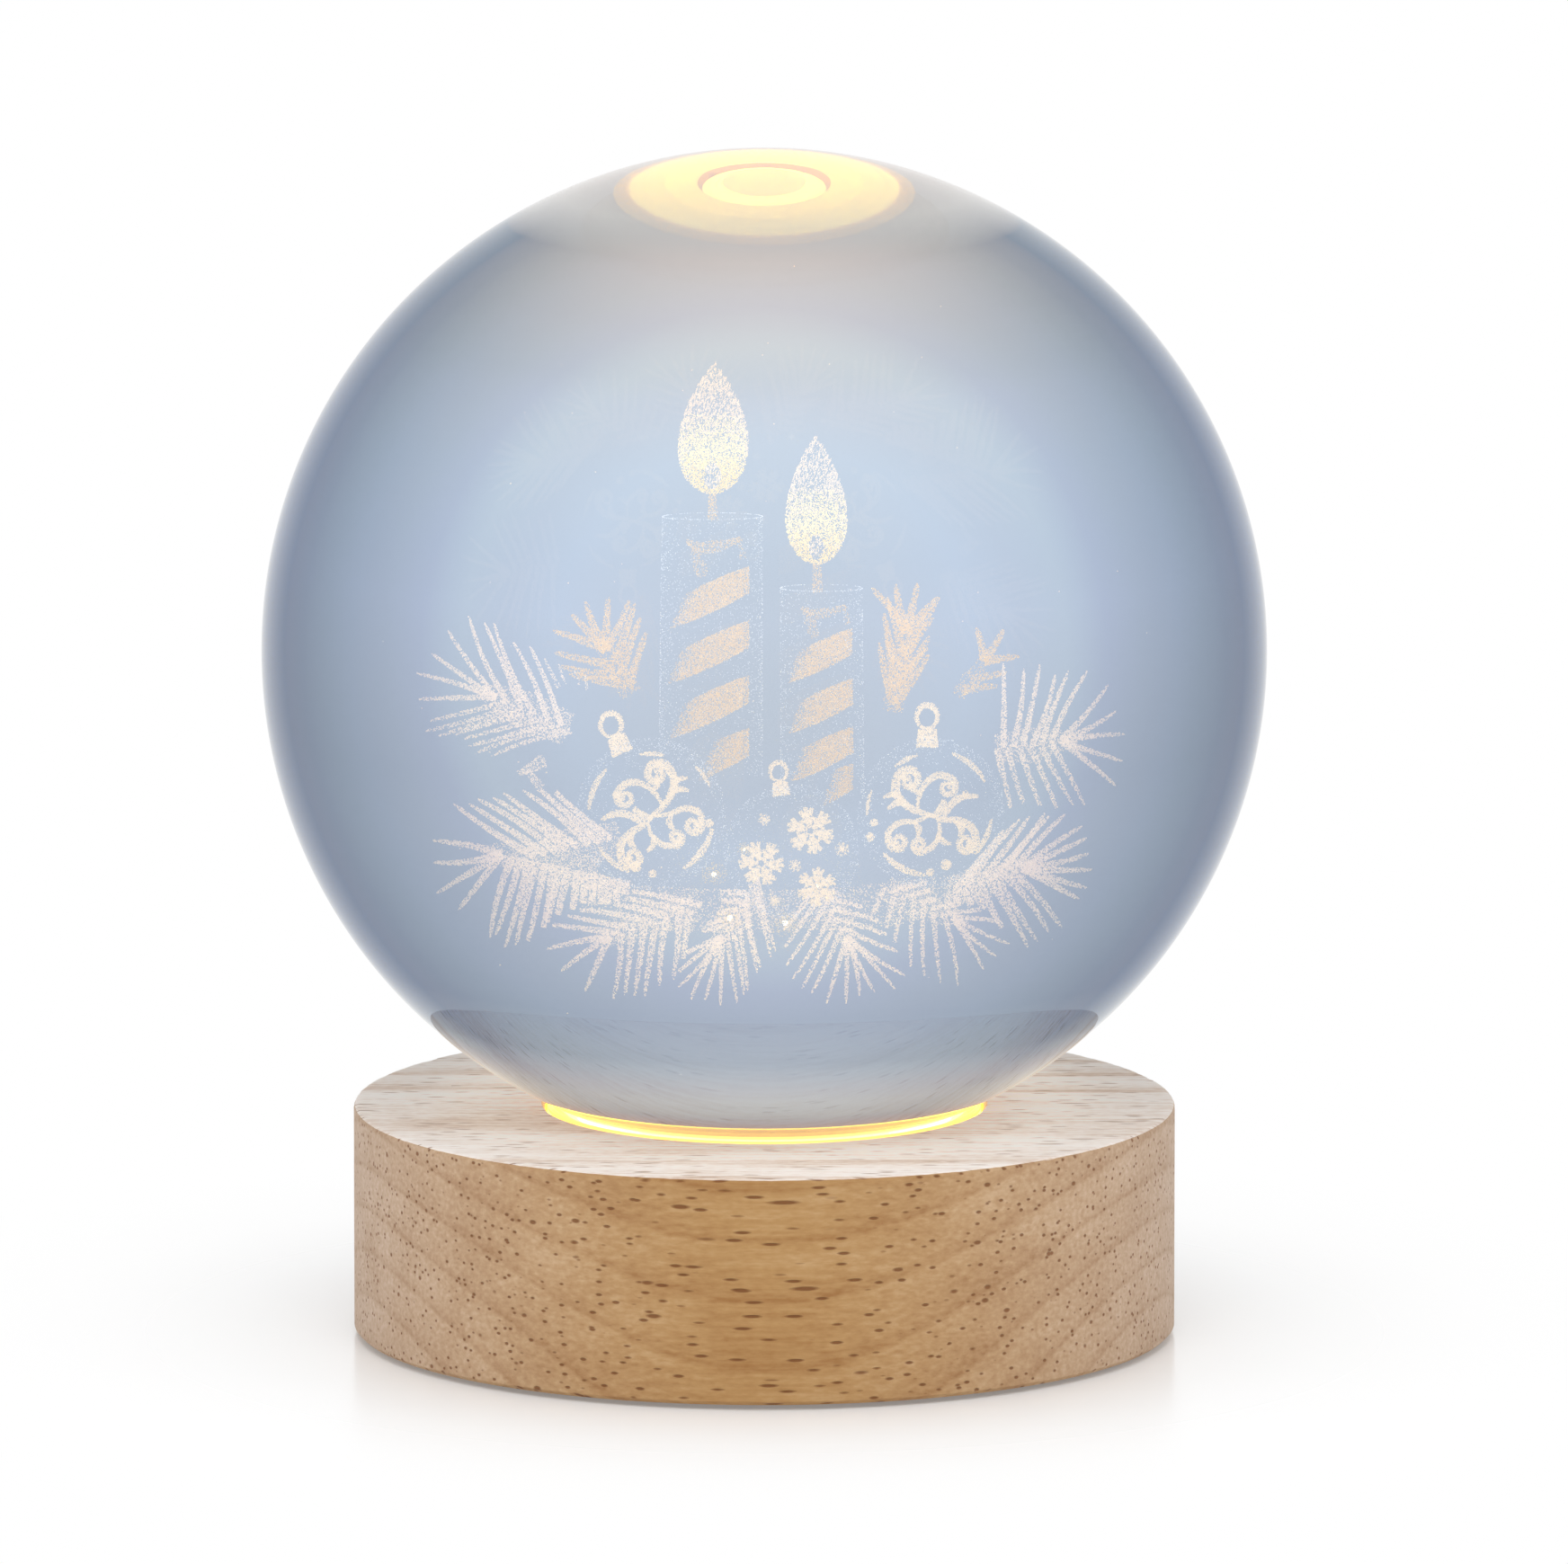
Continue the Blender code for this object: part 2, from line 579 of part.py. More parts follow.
def engraved_baubles(look):
    """Three tree ornaments, each with its cap and the ring that it hangs by."""
    cap_radius, cap_height = (share * BALL_RADIUS for share in CAP_SHARES)
    hanger_radius, wire = (share * BALL_RADIUS for share in HANGER_SHARES)
    made = []
    for number, (bauble, lean) in enumerate(zip(BAUBLE_SHARES, BAUBLE_LEANS), 1):
        right, back, up, radius = (share * BALL_RADIUS for share in bauble)
        cap_angle = math.degrees(math.acos(cap_radius / radius))
        profile = arc((0.0, 0.0), radius, -90, cap_angle, BAUBLE_RINGS)
        cap_top = radius + cap_height
        profile += [(cap_radius, cap_top), (0.0, cap_top)]
        body = turned(f"engraved_bauble_{number}", profile, PICTURE_SEGMENTS, look)
        body.rotation_euler = (0.0, math.radians(lean), 0.0)
        body.location = (right, back, up)
        around = arc((hanger_radius, 0.0), wire, 0, 360, WIRE_SEGMENTS + 1)[:-1]
        hanger = turned(f"hanger_{number}", around, HANGER_SEGMENTS, None, closed=True)
        hanger.parent = body
        hanger.rotation_euler = (math.pi / 2, 0.0, 0.0)
        hanger.location = (0.0, 0.0, cap_top + hanger_radius)
        made.append(bored(body, hanger, "UNION"))
    return made


def sprig_outline(foot, tip, needle):
    """A fir sprig: needles slant off both sides of its stem and fan out at its tip."""
    stem = tip - foot
    half = needle * STEM_WIDTH_SHARE / 2
    reach = Vector(on_circle(needle, NEEDLE_SLANT))
    root = Vector((needle * NEEDLE_FOOT_SHARE, 0.0))
    side = [Vector((0.0, half))]
    for i in range(NEEDLES_A_SIDE):
        middle = Vector((stem.length * (i + 0.5) / NEEDLES_A_SIDE, half))
        side += [middle - root, middle + reach, middle + root]
    fan = []
    for angle in TIP_ANGLES:
        fan.append(on_circle(needle, angle))
        fan.append(on_circle(needle * TIP_NOTCH_SHARE, angle - TIP_ANGLES[0] / 2))
    outline = side + [Vector((stem.length + x, y)) for x, y in fan[:-1]]
    outline += [Vector((point.x, -point.y)) for point in reversed(side)]
    turn = Matrix.Rotation(math.atan2(stem.y, stem.x), 2)
    return [tuple(foot + turn @ point) for point in outline]


def engraved_fir(look):
    """Fir sprigs all round the baubles, on the branch that carries them, as one flat piece."""
    sprigs = []
    for right, up, tip_right, tip_up, needle in SPRIG_SHARES:
        foot = Vector((right, -up)) * BALL_RADIUS
        tip = Vector((tip_right, -tip_up)) * BALL_RADIUS
        sprigs.append((foot, tip, needle * BALL_RADIUS))
    feet = [foot for foot, _, _ in sprigs]
    half = BRANCH_WIDTH_SHARE * BALL_RADIUS / 2
    edges = ([], [])
    for before, here, after in zip(feet[:1] + feet, feet, feet[1:] + feet[-1:]):
        ahead = (after - before).normalized()
        across = Vector((-ahead.y, ahead.x)) * half
        edges[0].append(tuple(here + across))
        edges[1].append(tuple(here - across))
    thickness = FIR_THICKNESS_SHARE * BALL_RADIUS
    back = FIR_BACK_SHARE * BALL_RADIUS
    fir = prism("engraved_fir", edges[0] + edges[1][::-1], thickness, look)
    facing_back(fir, 0.0, back - thickness / 2, 0.0)
    for number, sprig in enumerate(sprigs):
        share = SPRIG_THICKNESS_SHARES[number % len(SPRIG_THICKNESS_SHARES)]
        plate = prism(f"sprig_{number}", sprig_outline(*sprig), share * thickness, None)
        plate.parent = fir
        plate.location = (0.0, 0.0, (1.0 - share) * thickness / 2)
        bored(fir, plate, "UNION")
    return fir


def seat_ring(look):
    """A silicone ring whose upper face follows the glass."""
    slope = SEAT_RADIUS / math.sqrt((BALL_RADIUS + SEAT_GAP) ** 2 - SEAT_RADIUS**2)
    inner_top = seat_height - RING_INNER_WIDTH * slope
    outer_top = seat_height + RING_OUTER_WIDTH * slope
    profile = [
        (ring_inner, ring_bottom),
        (ring_outer - RING_EDGE, ring_bottom),
        (ring_outer, ring_bottom + RING_EDGE),
        (ring_outer, outer_top - RING_EDGE),
        (ring_outer - RING_EDGE, outer_top - RING_EDGE * slope),
        (ring_inner + RING_EDGE, inner_top + RING_EDGE * slope),
        (ring_inner, inner_top - RING_EDGE),
    ]
    return turned("seat_ring", profile, BASE_SEGMENTS, look, closed=True)


def led_lens(look):
    """A clear dome in the well's floor, with a flange below and a hollow over the LEDs."""
    flange_top = pocket_top + LENS_FLANGE_HEIGHT - SOLDER_GAP
    hollow_top = led_board_top + SOLDER_GAP + LED_SIZE[2] + LENS_HOLLOW_ROOM
    steps = [math.pi / 2 * i / DOME_POINTS for i in range(DOME_POINTS)]
    dome = [(lens_radius * math.cos(a), well_floor + LENS_RISE * math.sin(a)) for a in steps]
    profile = [
        (0.0, hollow_top),
        (lens_hollow, hollow_top),
        (lens_hollow, pocket_top),
        (flange_radius, pocket_top),
        (flange_radius, flange_top),
        (lens_radius, flange_top),
        *dome,
        (0.0, lens_top),
    ]
    return turned("led_lens", profile, ROUND_SEGMENTS, look)


def led_board(look):
    middle = [(0.0, 0.0, led_board_bottom)]
    board = rods("led_board", led_board_radius, LED_BOARD_THICKNESS, BOARD_SEGMENTS, look, middle)
    places = led_screw_places()
    return through_holes(board, LED_SCREW_RADIUS, led_board_bottom, LED_BOARD_THICKNESS, places)


def led_chips(look):
    """Three LEDs in a ring, each turned to face the middle."""
    middle = (LED_CIRCLE, 0.0, led_board_top + SOLDER_GAP + LED_SIZE[2] / 2)
    for number, angle in enumerate(LED_ANGLES, 1):
        block(f"led_chip_{number}", LED_SIZE, middle, look, angle)


def control_board(look):
    """A D-shaped board that follows the pocket's wall, notched where the button's flange moves."""
    half = math.degrees(math.acos(board_front / board_radius))
    outline = arc((0.0, 0.0), board_radius, 90 - half, 90 + half, BOARD_ARC_POINTS)
    board = prism("control_board", outline, BOARD_THICKNESS, look, [(0.0, 0.0, board_bottom)])
    size = (board_radius, board_radius, BOARD_THICKNESS + 2 * OVERRUN)
    middle = (
        notch_side + board_radius / 2,
        notch_front + board_radius / 2,
        board_bottom + BOARD_THICKNESS / 2,
    )
    bored(board, block("flange_notch", size, middle, None))
    return through_holes(board, BOARD_SCREW_RADIUS, board_bottom, BOARD_THICKNESS, spacer_places())


def driver_chip(look):
    """The chip that drives the LEDs, with its flat legs."""
    height = parts_bottom + CHIP_SIZE[2] / 2
    chip = block("driver_chip", CHIP_SIZE, (CHIP_SHIFT, chip_y, height), look)
    bm = bmesh.new()
    for i in range(LEGS_A_SIDE):
        row = chip_y + LEG_PITCH * (i - (LEGS_A_SIDE - 1) / 2)
        size = (2 * leg_reach, *LEG_SIZE)
        add_block(bm, size, (CHIP_SHIFT, row, parts_bottom + LEG_LIFT + LEG_SIZE[1] / 2))
    return bored(chip, finished("chip_legs", bm, None), "UNION")


def small_board_parts(resistor_look, capacitor_look):
    """The resistors in a column beside the chip, and the capacitor behind it."""
    height = parts_bottom + RESISTOR_SIZE[2] / 2
    pitch = RESISTOR_SIZE[1] + PART_SPACING
    for i in range(RESISTOR_COUNT):
        middle = (resistor_x, chip_y + pitch * (i - (RESISTOR_COUNT - 1) / 2), height)
        block(f"resistor_{i + 1}", RESISTOR_SIZE, middle, resistor_look)
    place = (0.0, capacitor_y, parts_bottom + CAPACITOR_SIZE[2] / 2)
    block("capacitor", CAPACITOR_SIZE, place, capacitor_look)


def board_spacers(look):
    """Two nylon spacers that hang the control board from the wood."""
    bottom = board_top + SOLDER_GAP
    top = pocket_top - SOLDER_GAP
    bore = BOARD_SCREW_RADIUS + THREAD_GAP
    profile = [(bore, bottom), (SPACER_RADIUS, bottom), (SPACER_RADIUS, top), (bore, top)]
    spacer = turned("board_spacer", profile, SMALL_SEGMENTS, look, closed=True)
    copies("board_spacer", spacer, [(x, y, 0.0) for x, y in spacer_places()])


def screws(name, shank, head, places, look):
    """Screws that point up, with a cross in the head, from (radius, height) points."""
    face = head[0][1]
    radius, length = shank
    profile = [(0.0, face), *head, (radius, length - radius), (0.0, length)]
    screw = turned(name, profile, SMALL_SEGMENTS, look)
    head_radius = head[0][0]
    depth = CROSS_DEPTH_SHARE * head_radius
    outline = cross_outline(CROSS_REACH_SHARE * head_radius)
    below = [(0.0, 0.0, face - OVERRUN)]
    bored(screw, prism(name + "_cross", outline, OVERRUN + depth, None, below))
    copies(name, screw, places)


def cover_screws(look):
    """Countersunk screws, flush with the cover."""
    head = [(COVER_HEAD_RADIUS, 0.0), (COVER_SCREW_RADIUS, COVER_HEAD_HEIGHT)]
    places = [(x, y, cover_bottom) for x, y in cover_screw_places()]
    screws("cover_screw", (COVER_SCREW_RADIUS, COVER_SCREW_LENGTH), head, places, look)


def pan_screws(name, radius, head_size, board, places, look):
    """Pan head screws that hold a board up against the wood."""
    head_radius, head_height = head_size
    under = board - SOLDER_GAP
    face_radius = PAN_FACE_SHARE * head_radius
    side = -PAN_SIDE_SHARE * head_height
    head = [(face_radius, -head_height), (head_radius, side), (head_radius, 0.0), (radius, 0.0)]
    seats = [(x, y, under) for x, y in places]
    screws(name, (radius, pocket_top + pilot_reach - under), head, seats, look)


def usb_shell(look):
    """The metal shell, open at both ends."""
    shell = prism("usb_shell", stadium(USB_WIDTH, USB_HEIGHT), USB_LENGTH, look)
    facing_back(shell, 0.0, usb_back, usb_middle)
    inner = stadium(USB_WIDTH - 2 * USB_WALL, USB_HEIGHT - 2 * USB_WALL)
    cutter = prism("usb_bore", inner, USB_LENGTH + 2 * OVERRUN, None)
    facing_back(cutter, 0.0, usb_back - OVERRUN, usb_middle)
    return bored(shell, cutter)


def usb_tongue(look):
    """The insulator: a block that closes the back, and the tongue that the plug slides over."""
    gap = 2 * (USB_WALL + SOLDER_GAP)
    outline = stadium(USB_WIDTH - gap, USB_HEIGHT - gap)
    back = prism("usb_tongue", outline, USB_BACK_LENGTH, look)
    facing_back(back, 0.0, usb_back, usb_middle)
    tip = usb_mouth - TONGUE_RECESS
    length = tip - usb_back - USB_BACK_LENGTH / 2
    size = (TONGUE_WIDTH, length, TONGUE_THICKNESS)
    tongue = block("tongue_plate", size, (0.0, tip - length / 2, usb_middle), None)
    return bored(back, tongue, "UNION")


def push_button(cap_look, body_look, plunger_look, spring_look):
    """The cap and the plunger, which move together along the axis, and the switch they press."""
    axis = bpy.data.objects.new("button_axis", None)
    axis.location = (button_x, button_end, switch_middle)
    bpy.context.scene.collection.objects.link(axis)

    length = button_end - flange_back
    side = length - BUTTON_DOME
    dome = [(r * BUTTON_RADIUS, side + h * BUTTON_DOME) for r, h in DOME_SHARES]
    flange = [(0.0, 0.0), (button_flange, 0.0), (button_flange, FLANGE_THICKNESS)]
    profile = [*flange, (BUTTON_RADIUS, FLANGE_THICKNESS), *dome, (0.0, length)]
    cap = turned("button_cap", profile, ROUND_SEGMENTS, cap_look)
    facing_back(cap, 0.0, flange_back - button_end, 0.0)
    cap.parent = axis

    plunger_back = switch_front - PLUNGER_SHARE * switch_bore
    plunger_length = flange_back - SOLDER_GAP - plunger_back
    foot = [(0.0, 0.0, 0.0)]
    plunger = rods(
        "switch_plunger", PLUNGER_RADIUS, plunger_length, SMALL_SEGMENTS, plunger_look, foot
    )
    facing_back(plunger, 0.0, plunger_back - button_end, 0.0)
    plunger.parent = axis

    middle = (button_x, switch_front - SWITCH_SIZE[1] / 2, switch_middle)
    body = block("switch_body", SWITCH_SIZE, middle, body_look)
    bore_floor = switch_front - switch_bore
    bore_radius = PLUNGER_RADIUS + RUNNING_GAP
    bore = rods("switch_bore", bore_radius, switch_bore + OVERRUN, SMALL_SEGMENTS, None, foot)
    bored(body, facing_back(bore, button_x, bore_floor, switch_middle))

    start = bore_floor + SOLDER_GAP + SPRING_WIRE_RADIUS
    end = plunger_back - SOLDER_GAP - SPRING_WIRE_RADIUS
    switch_spring(start, end, spring_look)


def switch_spring(start, end, look):
    """A coil between the bore's floor and the plunger."""
    radius = PLUNGER_RADIUS - SPRING_WIRE_RADIUS
    steps = round(SPRING_TURNS * SPRING_POINTS)
    coil = []
    for i in range(steps + 1):
        angle = math.tau * i / SPRING_POINTS
        x = button_x + radius * math.cos(angle)
        z = switch_middle + radius * math.sin(angle)
        coil.append((x, start + (end - start) * i / steps, z))
    return tube("switch_spring", coil, SPRING_WIRE_RADIUS, 1, look)


def tube(name, points, radius, resolution, look):
    """A round wire that follows the points."""
    curve = bpy.data.curves.new(name, "CURVE")
    curve.dimensions = "3D"
    curve.bevel_depth = radius
    curve.bevel_resolution = resolution
    curve.use_fill_caps = True
    spline = curve.splines.new("POLY")
    spline.points.add(len(points) - 1)
    for point, place in zip(spline.points, points):
        point.co = (*place, 1.0)
    curve.materials.append(look)
    made = bpy.data.objects.new(name, curve)
    bpy.context.scene.collection.objects.link(made)
    return made


def lead(name, place, look):
    """A lead from the control board up to the LED board, square to both at its ends."""
    start = Vector((LEAD_START[0], board_front + LEAD_START[1], board_top + SOLDER_GAP))
    end = Vector((*LEAD_END, led_board_bottom - SOLDER_GAP))
    run = end - start
    beside = Vector((-run.y, run.x, 0.0)).normalized() * place * LEAD_PITCH
    start, end = start + beside, end + beside
    rise = Vector((0.0, 0.0, LEAD_STRAIGHT))
    bends = (start, start + rise, end - rise, end)
    points = []
    for i in range(LEAD_POINTS + 1):
        t = i / LEAD_POINTS
        weights = ((1 - t) ** 3, 3 * (1 - t) ** 2 * t, 3 * (1 - t) * t**2, t**3)
        points.append(sum((bend * weight for bend, weight in zip(bends, weights)), Vector()))
    return tube(name, points, LEAD_RADIUS, 2, look)


def bottom_cover(look):
    """The disc that closes the pocket, sunk for its screws."""
    middle = [(0.0, 0.0, cover_bottom)]
    cover = rods("bottom_cover", cover_radius, COVER_THICKNESS, BASE_SEGMENTS, look, middle)
    head = COVER_HEAD_RADIUS + THREAD_GAP
    hole = COVER_SCREW_RADIUS + THREAD_GAP
    top = COVER_THICKNESS + OVERRUN
    sink = [(0.0, -OVERRUN), (head, -OVERRUN), (head, 0.0)]
    sink += [(hole, COVER_HEAD_HEIGHT), (hole, top), (0.0, top)]
    places = [(x, y, cover_bottom) for x, y in cover_screw_places()]
    return bored(cover, turned("cover_sinks", sink, SMALL_SEGMENTS, None, places))


def feet(look):
    middle = [(0.0, 0.0, 0.0)]
    foot = rods("foot", FOOT_RADIUS, FOOT_THICKNESS, ROUND_SEGMENTS, look, middle)
    copies("foot", foot, [(*on_circle(foot_circle, angle), 0.0) for angle in FOOT_ANGLES])


def build():
    for old in list(bpy.data.objects):
        bpy.data.objects.remove(old)

    wood = material("rubberwood", "C9A074", 0.6)
    glass = material("crystal glass", "C3D3EC", 0.02, transmission=1.0)
    engraving = material("engraved glass", "F6F1E6", 0.8)
    silicone = material("clear silicone", "E9E4DA", 0.35, transmission=0.6)
    acrylic = material("clear acrylic", "FFF6E0", 0.05, transmission=0.9)
    warm_light = material("warm white LED", "FFD98A", 0.4, glow=2.0)
    white_board = material("white solder mask", "F2F1EA", 0.4)
    green_board = material("green solder mask", "1F5A3A", 0.4)
    black_plastic = material("black moulded plastic", "1B1B1D", 0.5)
    white_plastic = material("white moulded plastic", "ECEAE4", 0.4)
    steel = material("nickel plated steel", "C6C7C9", 0.3, metallic=1.0)
    ceramic = material("brown ceramic", "8A6E4E", 0.5)
    rubber = material("black foam rubber", "2A2A2C", 0.9)
    red = material("red lead", "B3201C", 0.45)
    black = material("black lead", "161617", 0.45)

    wooden_base(wood)
    crystal_ball(glass, engraving)
    seat_ring(silicone)
    led_lens(acrylic)
    led_board(white_board)
    led_chips(warm_light)
    control_board(green_board)
    driver_chip(black_plastic)
    small_board_parts(black_plastic, ceramic)
    board_spacers(white_plastic)
    cover_screws(steel)
    pan_head = (PAN_HEAD_RADIUS, PAN_HEAD_HEIGHT)
    pan_screws("board_screw", BOARD_SCREW_RADIUS, pan_head, board_bottom, spacer_places(), steel)
    led_head = (LED_HEAD_RADIUS, LED_HEAD_HEIGHT)
    places = led_screw_places()
    pan_screws("led_board_screw", LED_SCREW_RADIUS, led_head, led_board_bottom, places, steel)
    usb_shell(steel)
    usb_tongue(black_plastic)
    push_button(white_plastic, black_plastic, black_plastic, steel)
    lead("lead_red", 0, red)
    lead("lead_black", 1, black)
    bottom_cover(black_plastic)
    feet(rubber)


build()
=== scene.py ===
"""Looks of the crystal ball lamp: the glass and the picture engraved in it, the turned wood,
the light in its well, and the finish of every part inside and underneath."""

import math
import random

import bmesh
import bpy
from mathutils import Matrix, Vector, noise


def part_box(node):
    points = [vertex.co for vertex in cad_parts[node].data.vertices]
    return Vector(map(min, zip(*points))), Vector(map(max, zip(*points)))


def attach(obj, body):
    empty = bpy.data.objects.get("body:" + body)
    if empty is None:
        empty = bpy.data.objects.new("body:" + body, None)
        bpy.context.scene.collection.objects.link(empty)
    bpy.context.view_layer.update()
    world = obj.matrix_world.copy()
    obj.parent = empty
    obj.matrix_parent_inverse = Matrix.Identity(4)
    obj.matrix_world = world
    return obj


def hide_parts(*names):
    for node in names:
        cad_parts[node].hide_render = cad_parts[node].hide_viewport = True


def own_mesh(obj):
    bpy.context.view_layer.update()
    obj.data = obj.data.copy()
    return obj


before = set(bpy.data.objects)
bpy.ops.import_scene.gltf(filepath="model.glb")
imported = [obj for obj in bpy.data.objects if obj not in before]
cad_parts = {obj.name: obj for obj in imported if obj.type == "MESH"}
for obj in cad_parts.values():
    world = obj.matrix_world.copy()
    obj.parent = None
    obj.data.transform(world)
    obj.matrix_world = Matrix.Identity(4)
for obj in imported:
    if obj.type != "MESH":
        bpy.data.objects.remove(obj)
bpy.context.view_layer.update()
scene = bpy.context.scene
scene.view_settings.view_transform = "Standard"
MM = 0.001

# The photograph's frame, in its own pixels
PHOTO_WIDTH = 1744
PIXELS_PER_MM = 13.97
BALL_PIXEL = (850.0, 723.6)

# Camera, as far off as the photograph's flat ellipses say
CAMERA_ELEVATION = math.radians(10.0)
CAMERA_DISTANCE = 2.0
CAMERA_AIM = Vector((0.00157, 0.0, 0.04446))
SENSOR = 0.036

# Glass ball
GLASS_IOR = 1.52
ball_low, ball_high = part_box("crystal_ball")
BALL_RADIUS = (ball_high.z - ball_low.z) / 2
BALL_MIDDLE = (ball_low + ball_high) / 2

# Wooden base
base_low, base_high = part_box("wooden_base")
BASE_RADIUS = base_high.x
WOOD_TOP = base_high.z
WOOD_BOTTOM = base_low.z
WOOD_EDGE = 0.3 * MM
WELL_RADIUS = 15.0 * MM
WELL_FLOOR = 12.0 * MM
GROOVE_RADIUS = 17.5 * MM
GROOVE_FLOOR = 16.5123 * MM
LENS_BORE = 4.3732 * MM
FLANGE_BORE = 5.1732 * MM
FLANGE_TOP = 10.2 * MM
POCKET_TOP = 9.2 * MM
POCKET_RADIUS = 23.05 * MM
RECESS_RADIUS = 27.75 * MM
LEDGE = 2.5 * MM
BASE_STEPS = 360
OVERRUN = 2.0 * MM  # how far a cutter passes the wood

# Holes in the base, round the parts that they hold
usb_low, usb_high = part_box("usb_shell")
USB_MIDDLE = (usb_low.z + usb_high.z) / 2
SOCKET_HOLE = (9.54 * MM, 3.86 * MM)
PORT = (13.2 * MM, 6.8 * MM)
PORT_CORNER = 1.5 * MM
PORT_FLOOR = usb_high.y - 0.3 * MM
button_low, button_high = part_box("button_cap")
BUTTON_X = (button_low.x + button_high.x) / 2
BUTTON_Z = (button_low.z + button_high.z) / 2
SPRING_WIRE = 0.11 * MM
SPRING_TURNS = 3.5
SPRING_STEPS = 24  # in each turn
WIRE_SIDES = 10
BORE_SIDES = 48
BUTTON_HOLE = 3.0 * MM
BUTTON_FLANGE_HOLE = 3.9 * MM
BUTTON_ROOM = button_low.y - 4.0 * MM
SHOULDER = math.sqrt(POCKET_RADIUS**2 - (BUTTON_X - BUTTON_FLANGE_HOLE) ** 2) + 0.7 * MM
PILOTS = (
    # which screws, how many, their holes' radius, and from and to what height
    ("cover_screw", 3, 1.1 * MM, LEDGE, 7.8 * MM),
    ("board_screw", 2, 1.0 * MM, POCKET_TOP, POCKET_TOP + 2.3 * MM),
    ("led_board_screw", 2, 0.8 * MM, POCKET_TOP, POCKET_TOP + 2.3 * MM),
)

# The glass: its tint by how far the surface turns away, which darkens to a painted shade at
# the rim, and shares of its height from the bottom, where painted light pales it towards the
# top and clears it over it, and a painted glow warms it near the lamp
GLASS_TINT_AND_RIM_SHADE = [
    (0.0, "B3BECC"),
    (0.035, "B5C1D2"),
    (0.09, "B1C0D4"),
    (0.14, "AAB6C8"),
    (0.2, "A6B3C1"),
    (0.268, "8F9AB1"),
    (0.34, "818FA3"),
    (0.43, "6D7D94"),
    (0.51, "57687F"),
    (0.6, "384965"),
    (0.7, "092147"),
]
# painted light by height: the tint is divided by these, which only brightens it
GLASS_PAINTED_LIGHT_LEVELS = [
    (0.25, "EDEFF0"),
    (0.38, "F6F7F8"),
    (0.44, "FFFFFF"),
    (0.5, "F6F6F6"),
    (0.61, "E1DFDB"),
    (0.67, "DFDBD9"),
    (0.745, "D6D4D8"),
    (0.81, "C8D0DC"),
    (0.8325, "C5D1E5"),
    (0.879, "AFC9EB"),
    (0.92, "94B9E9"),
    (0.937, "8CB5ED"),
]
# painted light: the lit well's warm light at the top and near the lamp, mixed into the colour
GLASS_PAINTED_WARM_ZONES = (
    # from and to what height, how much of which colour
    (0.93, 0.958, 1.0, "C8BEB0"),
    (0.075, 0.05, 0.06, "FFA050"),
    (0.044, 0.038, 1.0, "FFF4E0"),
)
# a painted glow, by height, where the ball stands over the lamp
GLASS_PAINTED_GLOW = [
    (0.04, "8A5A18"),
    (0.055, "80602C"),
    (0.068, "7A6A50"),
    (0.08, "8C8168"),
    (0.0965, "908670"),
    (0.114, "837868"),
    (0.1365, "68655A"),
    (0.148, "504E41"),
    (0.2, "000000"),
]

# The wood: its pith, its rings, its shades at the front, at the ends paler with a painted
# sheen, and on top paler still with painted light, and its pores as (cell across, cell along,
# half width as a share of the cell, share of cells that hold one), in millimetres. The last
# shade is the pores' own.
PITH = (0.0, 8.9 * MM, 12.2 * MM)
RING_WANDER = 2.0 * MM
RING_PERIOD = 3.5 * MM
RING_START = -0.97
RING_SHADES = [
    (0.0, "BBBBBB"),
    (0.03, "EEEEEE"),
    (0.2, "888888"),
    (0.5, "444444"),
    (0.94, "000000"),
    (1.0, "BBBBBB"),
]
RING_SHARE = 0.16
STREAKS = (
    # what shades the grain besides the rings: its stretch, size, detail and share
    ("cloud", 0.35, 5.0, 3.0, 0.34),
    ("fibres", 0.03, 0.4, 4.0, 0.4),
    ("flecks", 0.35, 0.3, 2.0, 0.26),
)
FRONT_WOOD = [(0.25, "CBA87C"), (0.5, "B58D5B"), (0.72, "9F7243"), (0.95, "8A5C32")], "70401C"
END_WOOD_SHEEN = [(0.25, "DCC8B8"), (0.5, "C7AE98"), (0.72, "B2957B"), (0.95, "A07E62")], "865836"
LIT_TOP_WOOD = [(0.3, "FFFAF5"), (0.5, "F8EEE6"), (0.66, "E2CDBC"), (0.85, "BE9D86")], "AC8A72"
PORES = ((0.6, 3.6, 0.25, 0.8), (1.4, 11.0, 0.15, 0.75), (1.6, 56.0, 0.1, 0.9))
PORE_STRENGTH = 0.85
FRAY = 0.1 * MM

# The lamp's light: the LEDs' own, and a painted glow in the wood of the well, in the seat ring
# from where the ball sits on it up to its top, in the dome, and on the wood's top round the ball
LIT_RADIUS = 11.0 * MM
LIT_WOOD = "FFF077"
LIT_FLOOR = 3.6
LIT_WALL = 5.2
SEAT_RADIUS = 16.0 * MM
SEAT_GAP = 0.3 * MM
RING_GLOW = [
    (0.0, "FFEC58"),
    (0.14, "D0A040"),
    (0.36, "93742E"),
    (0.85, "93742E"),
    (1.0, "B8983C"),
]
RING_LIGHT = "6C5933", 3.8
DOME_LIGHT = "FFE486", 2.0
LED_COLOUR = "FFF4D2"
LED_LIGHT, BRIGHTEST_LED_LIGHT = 5.0, 22.0
SPILL = 0.2
SPILL_AT_EDGE = 0.01

# The engraved picture
CANDLE_DEPTH = 0.0
FIR_DEPTH = -2.6
SIDE_DEPTH = -7.4
MIDDLE_DEPTH = -10.6
BLOB_PIXELS = 2.2
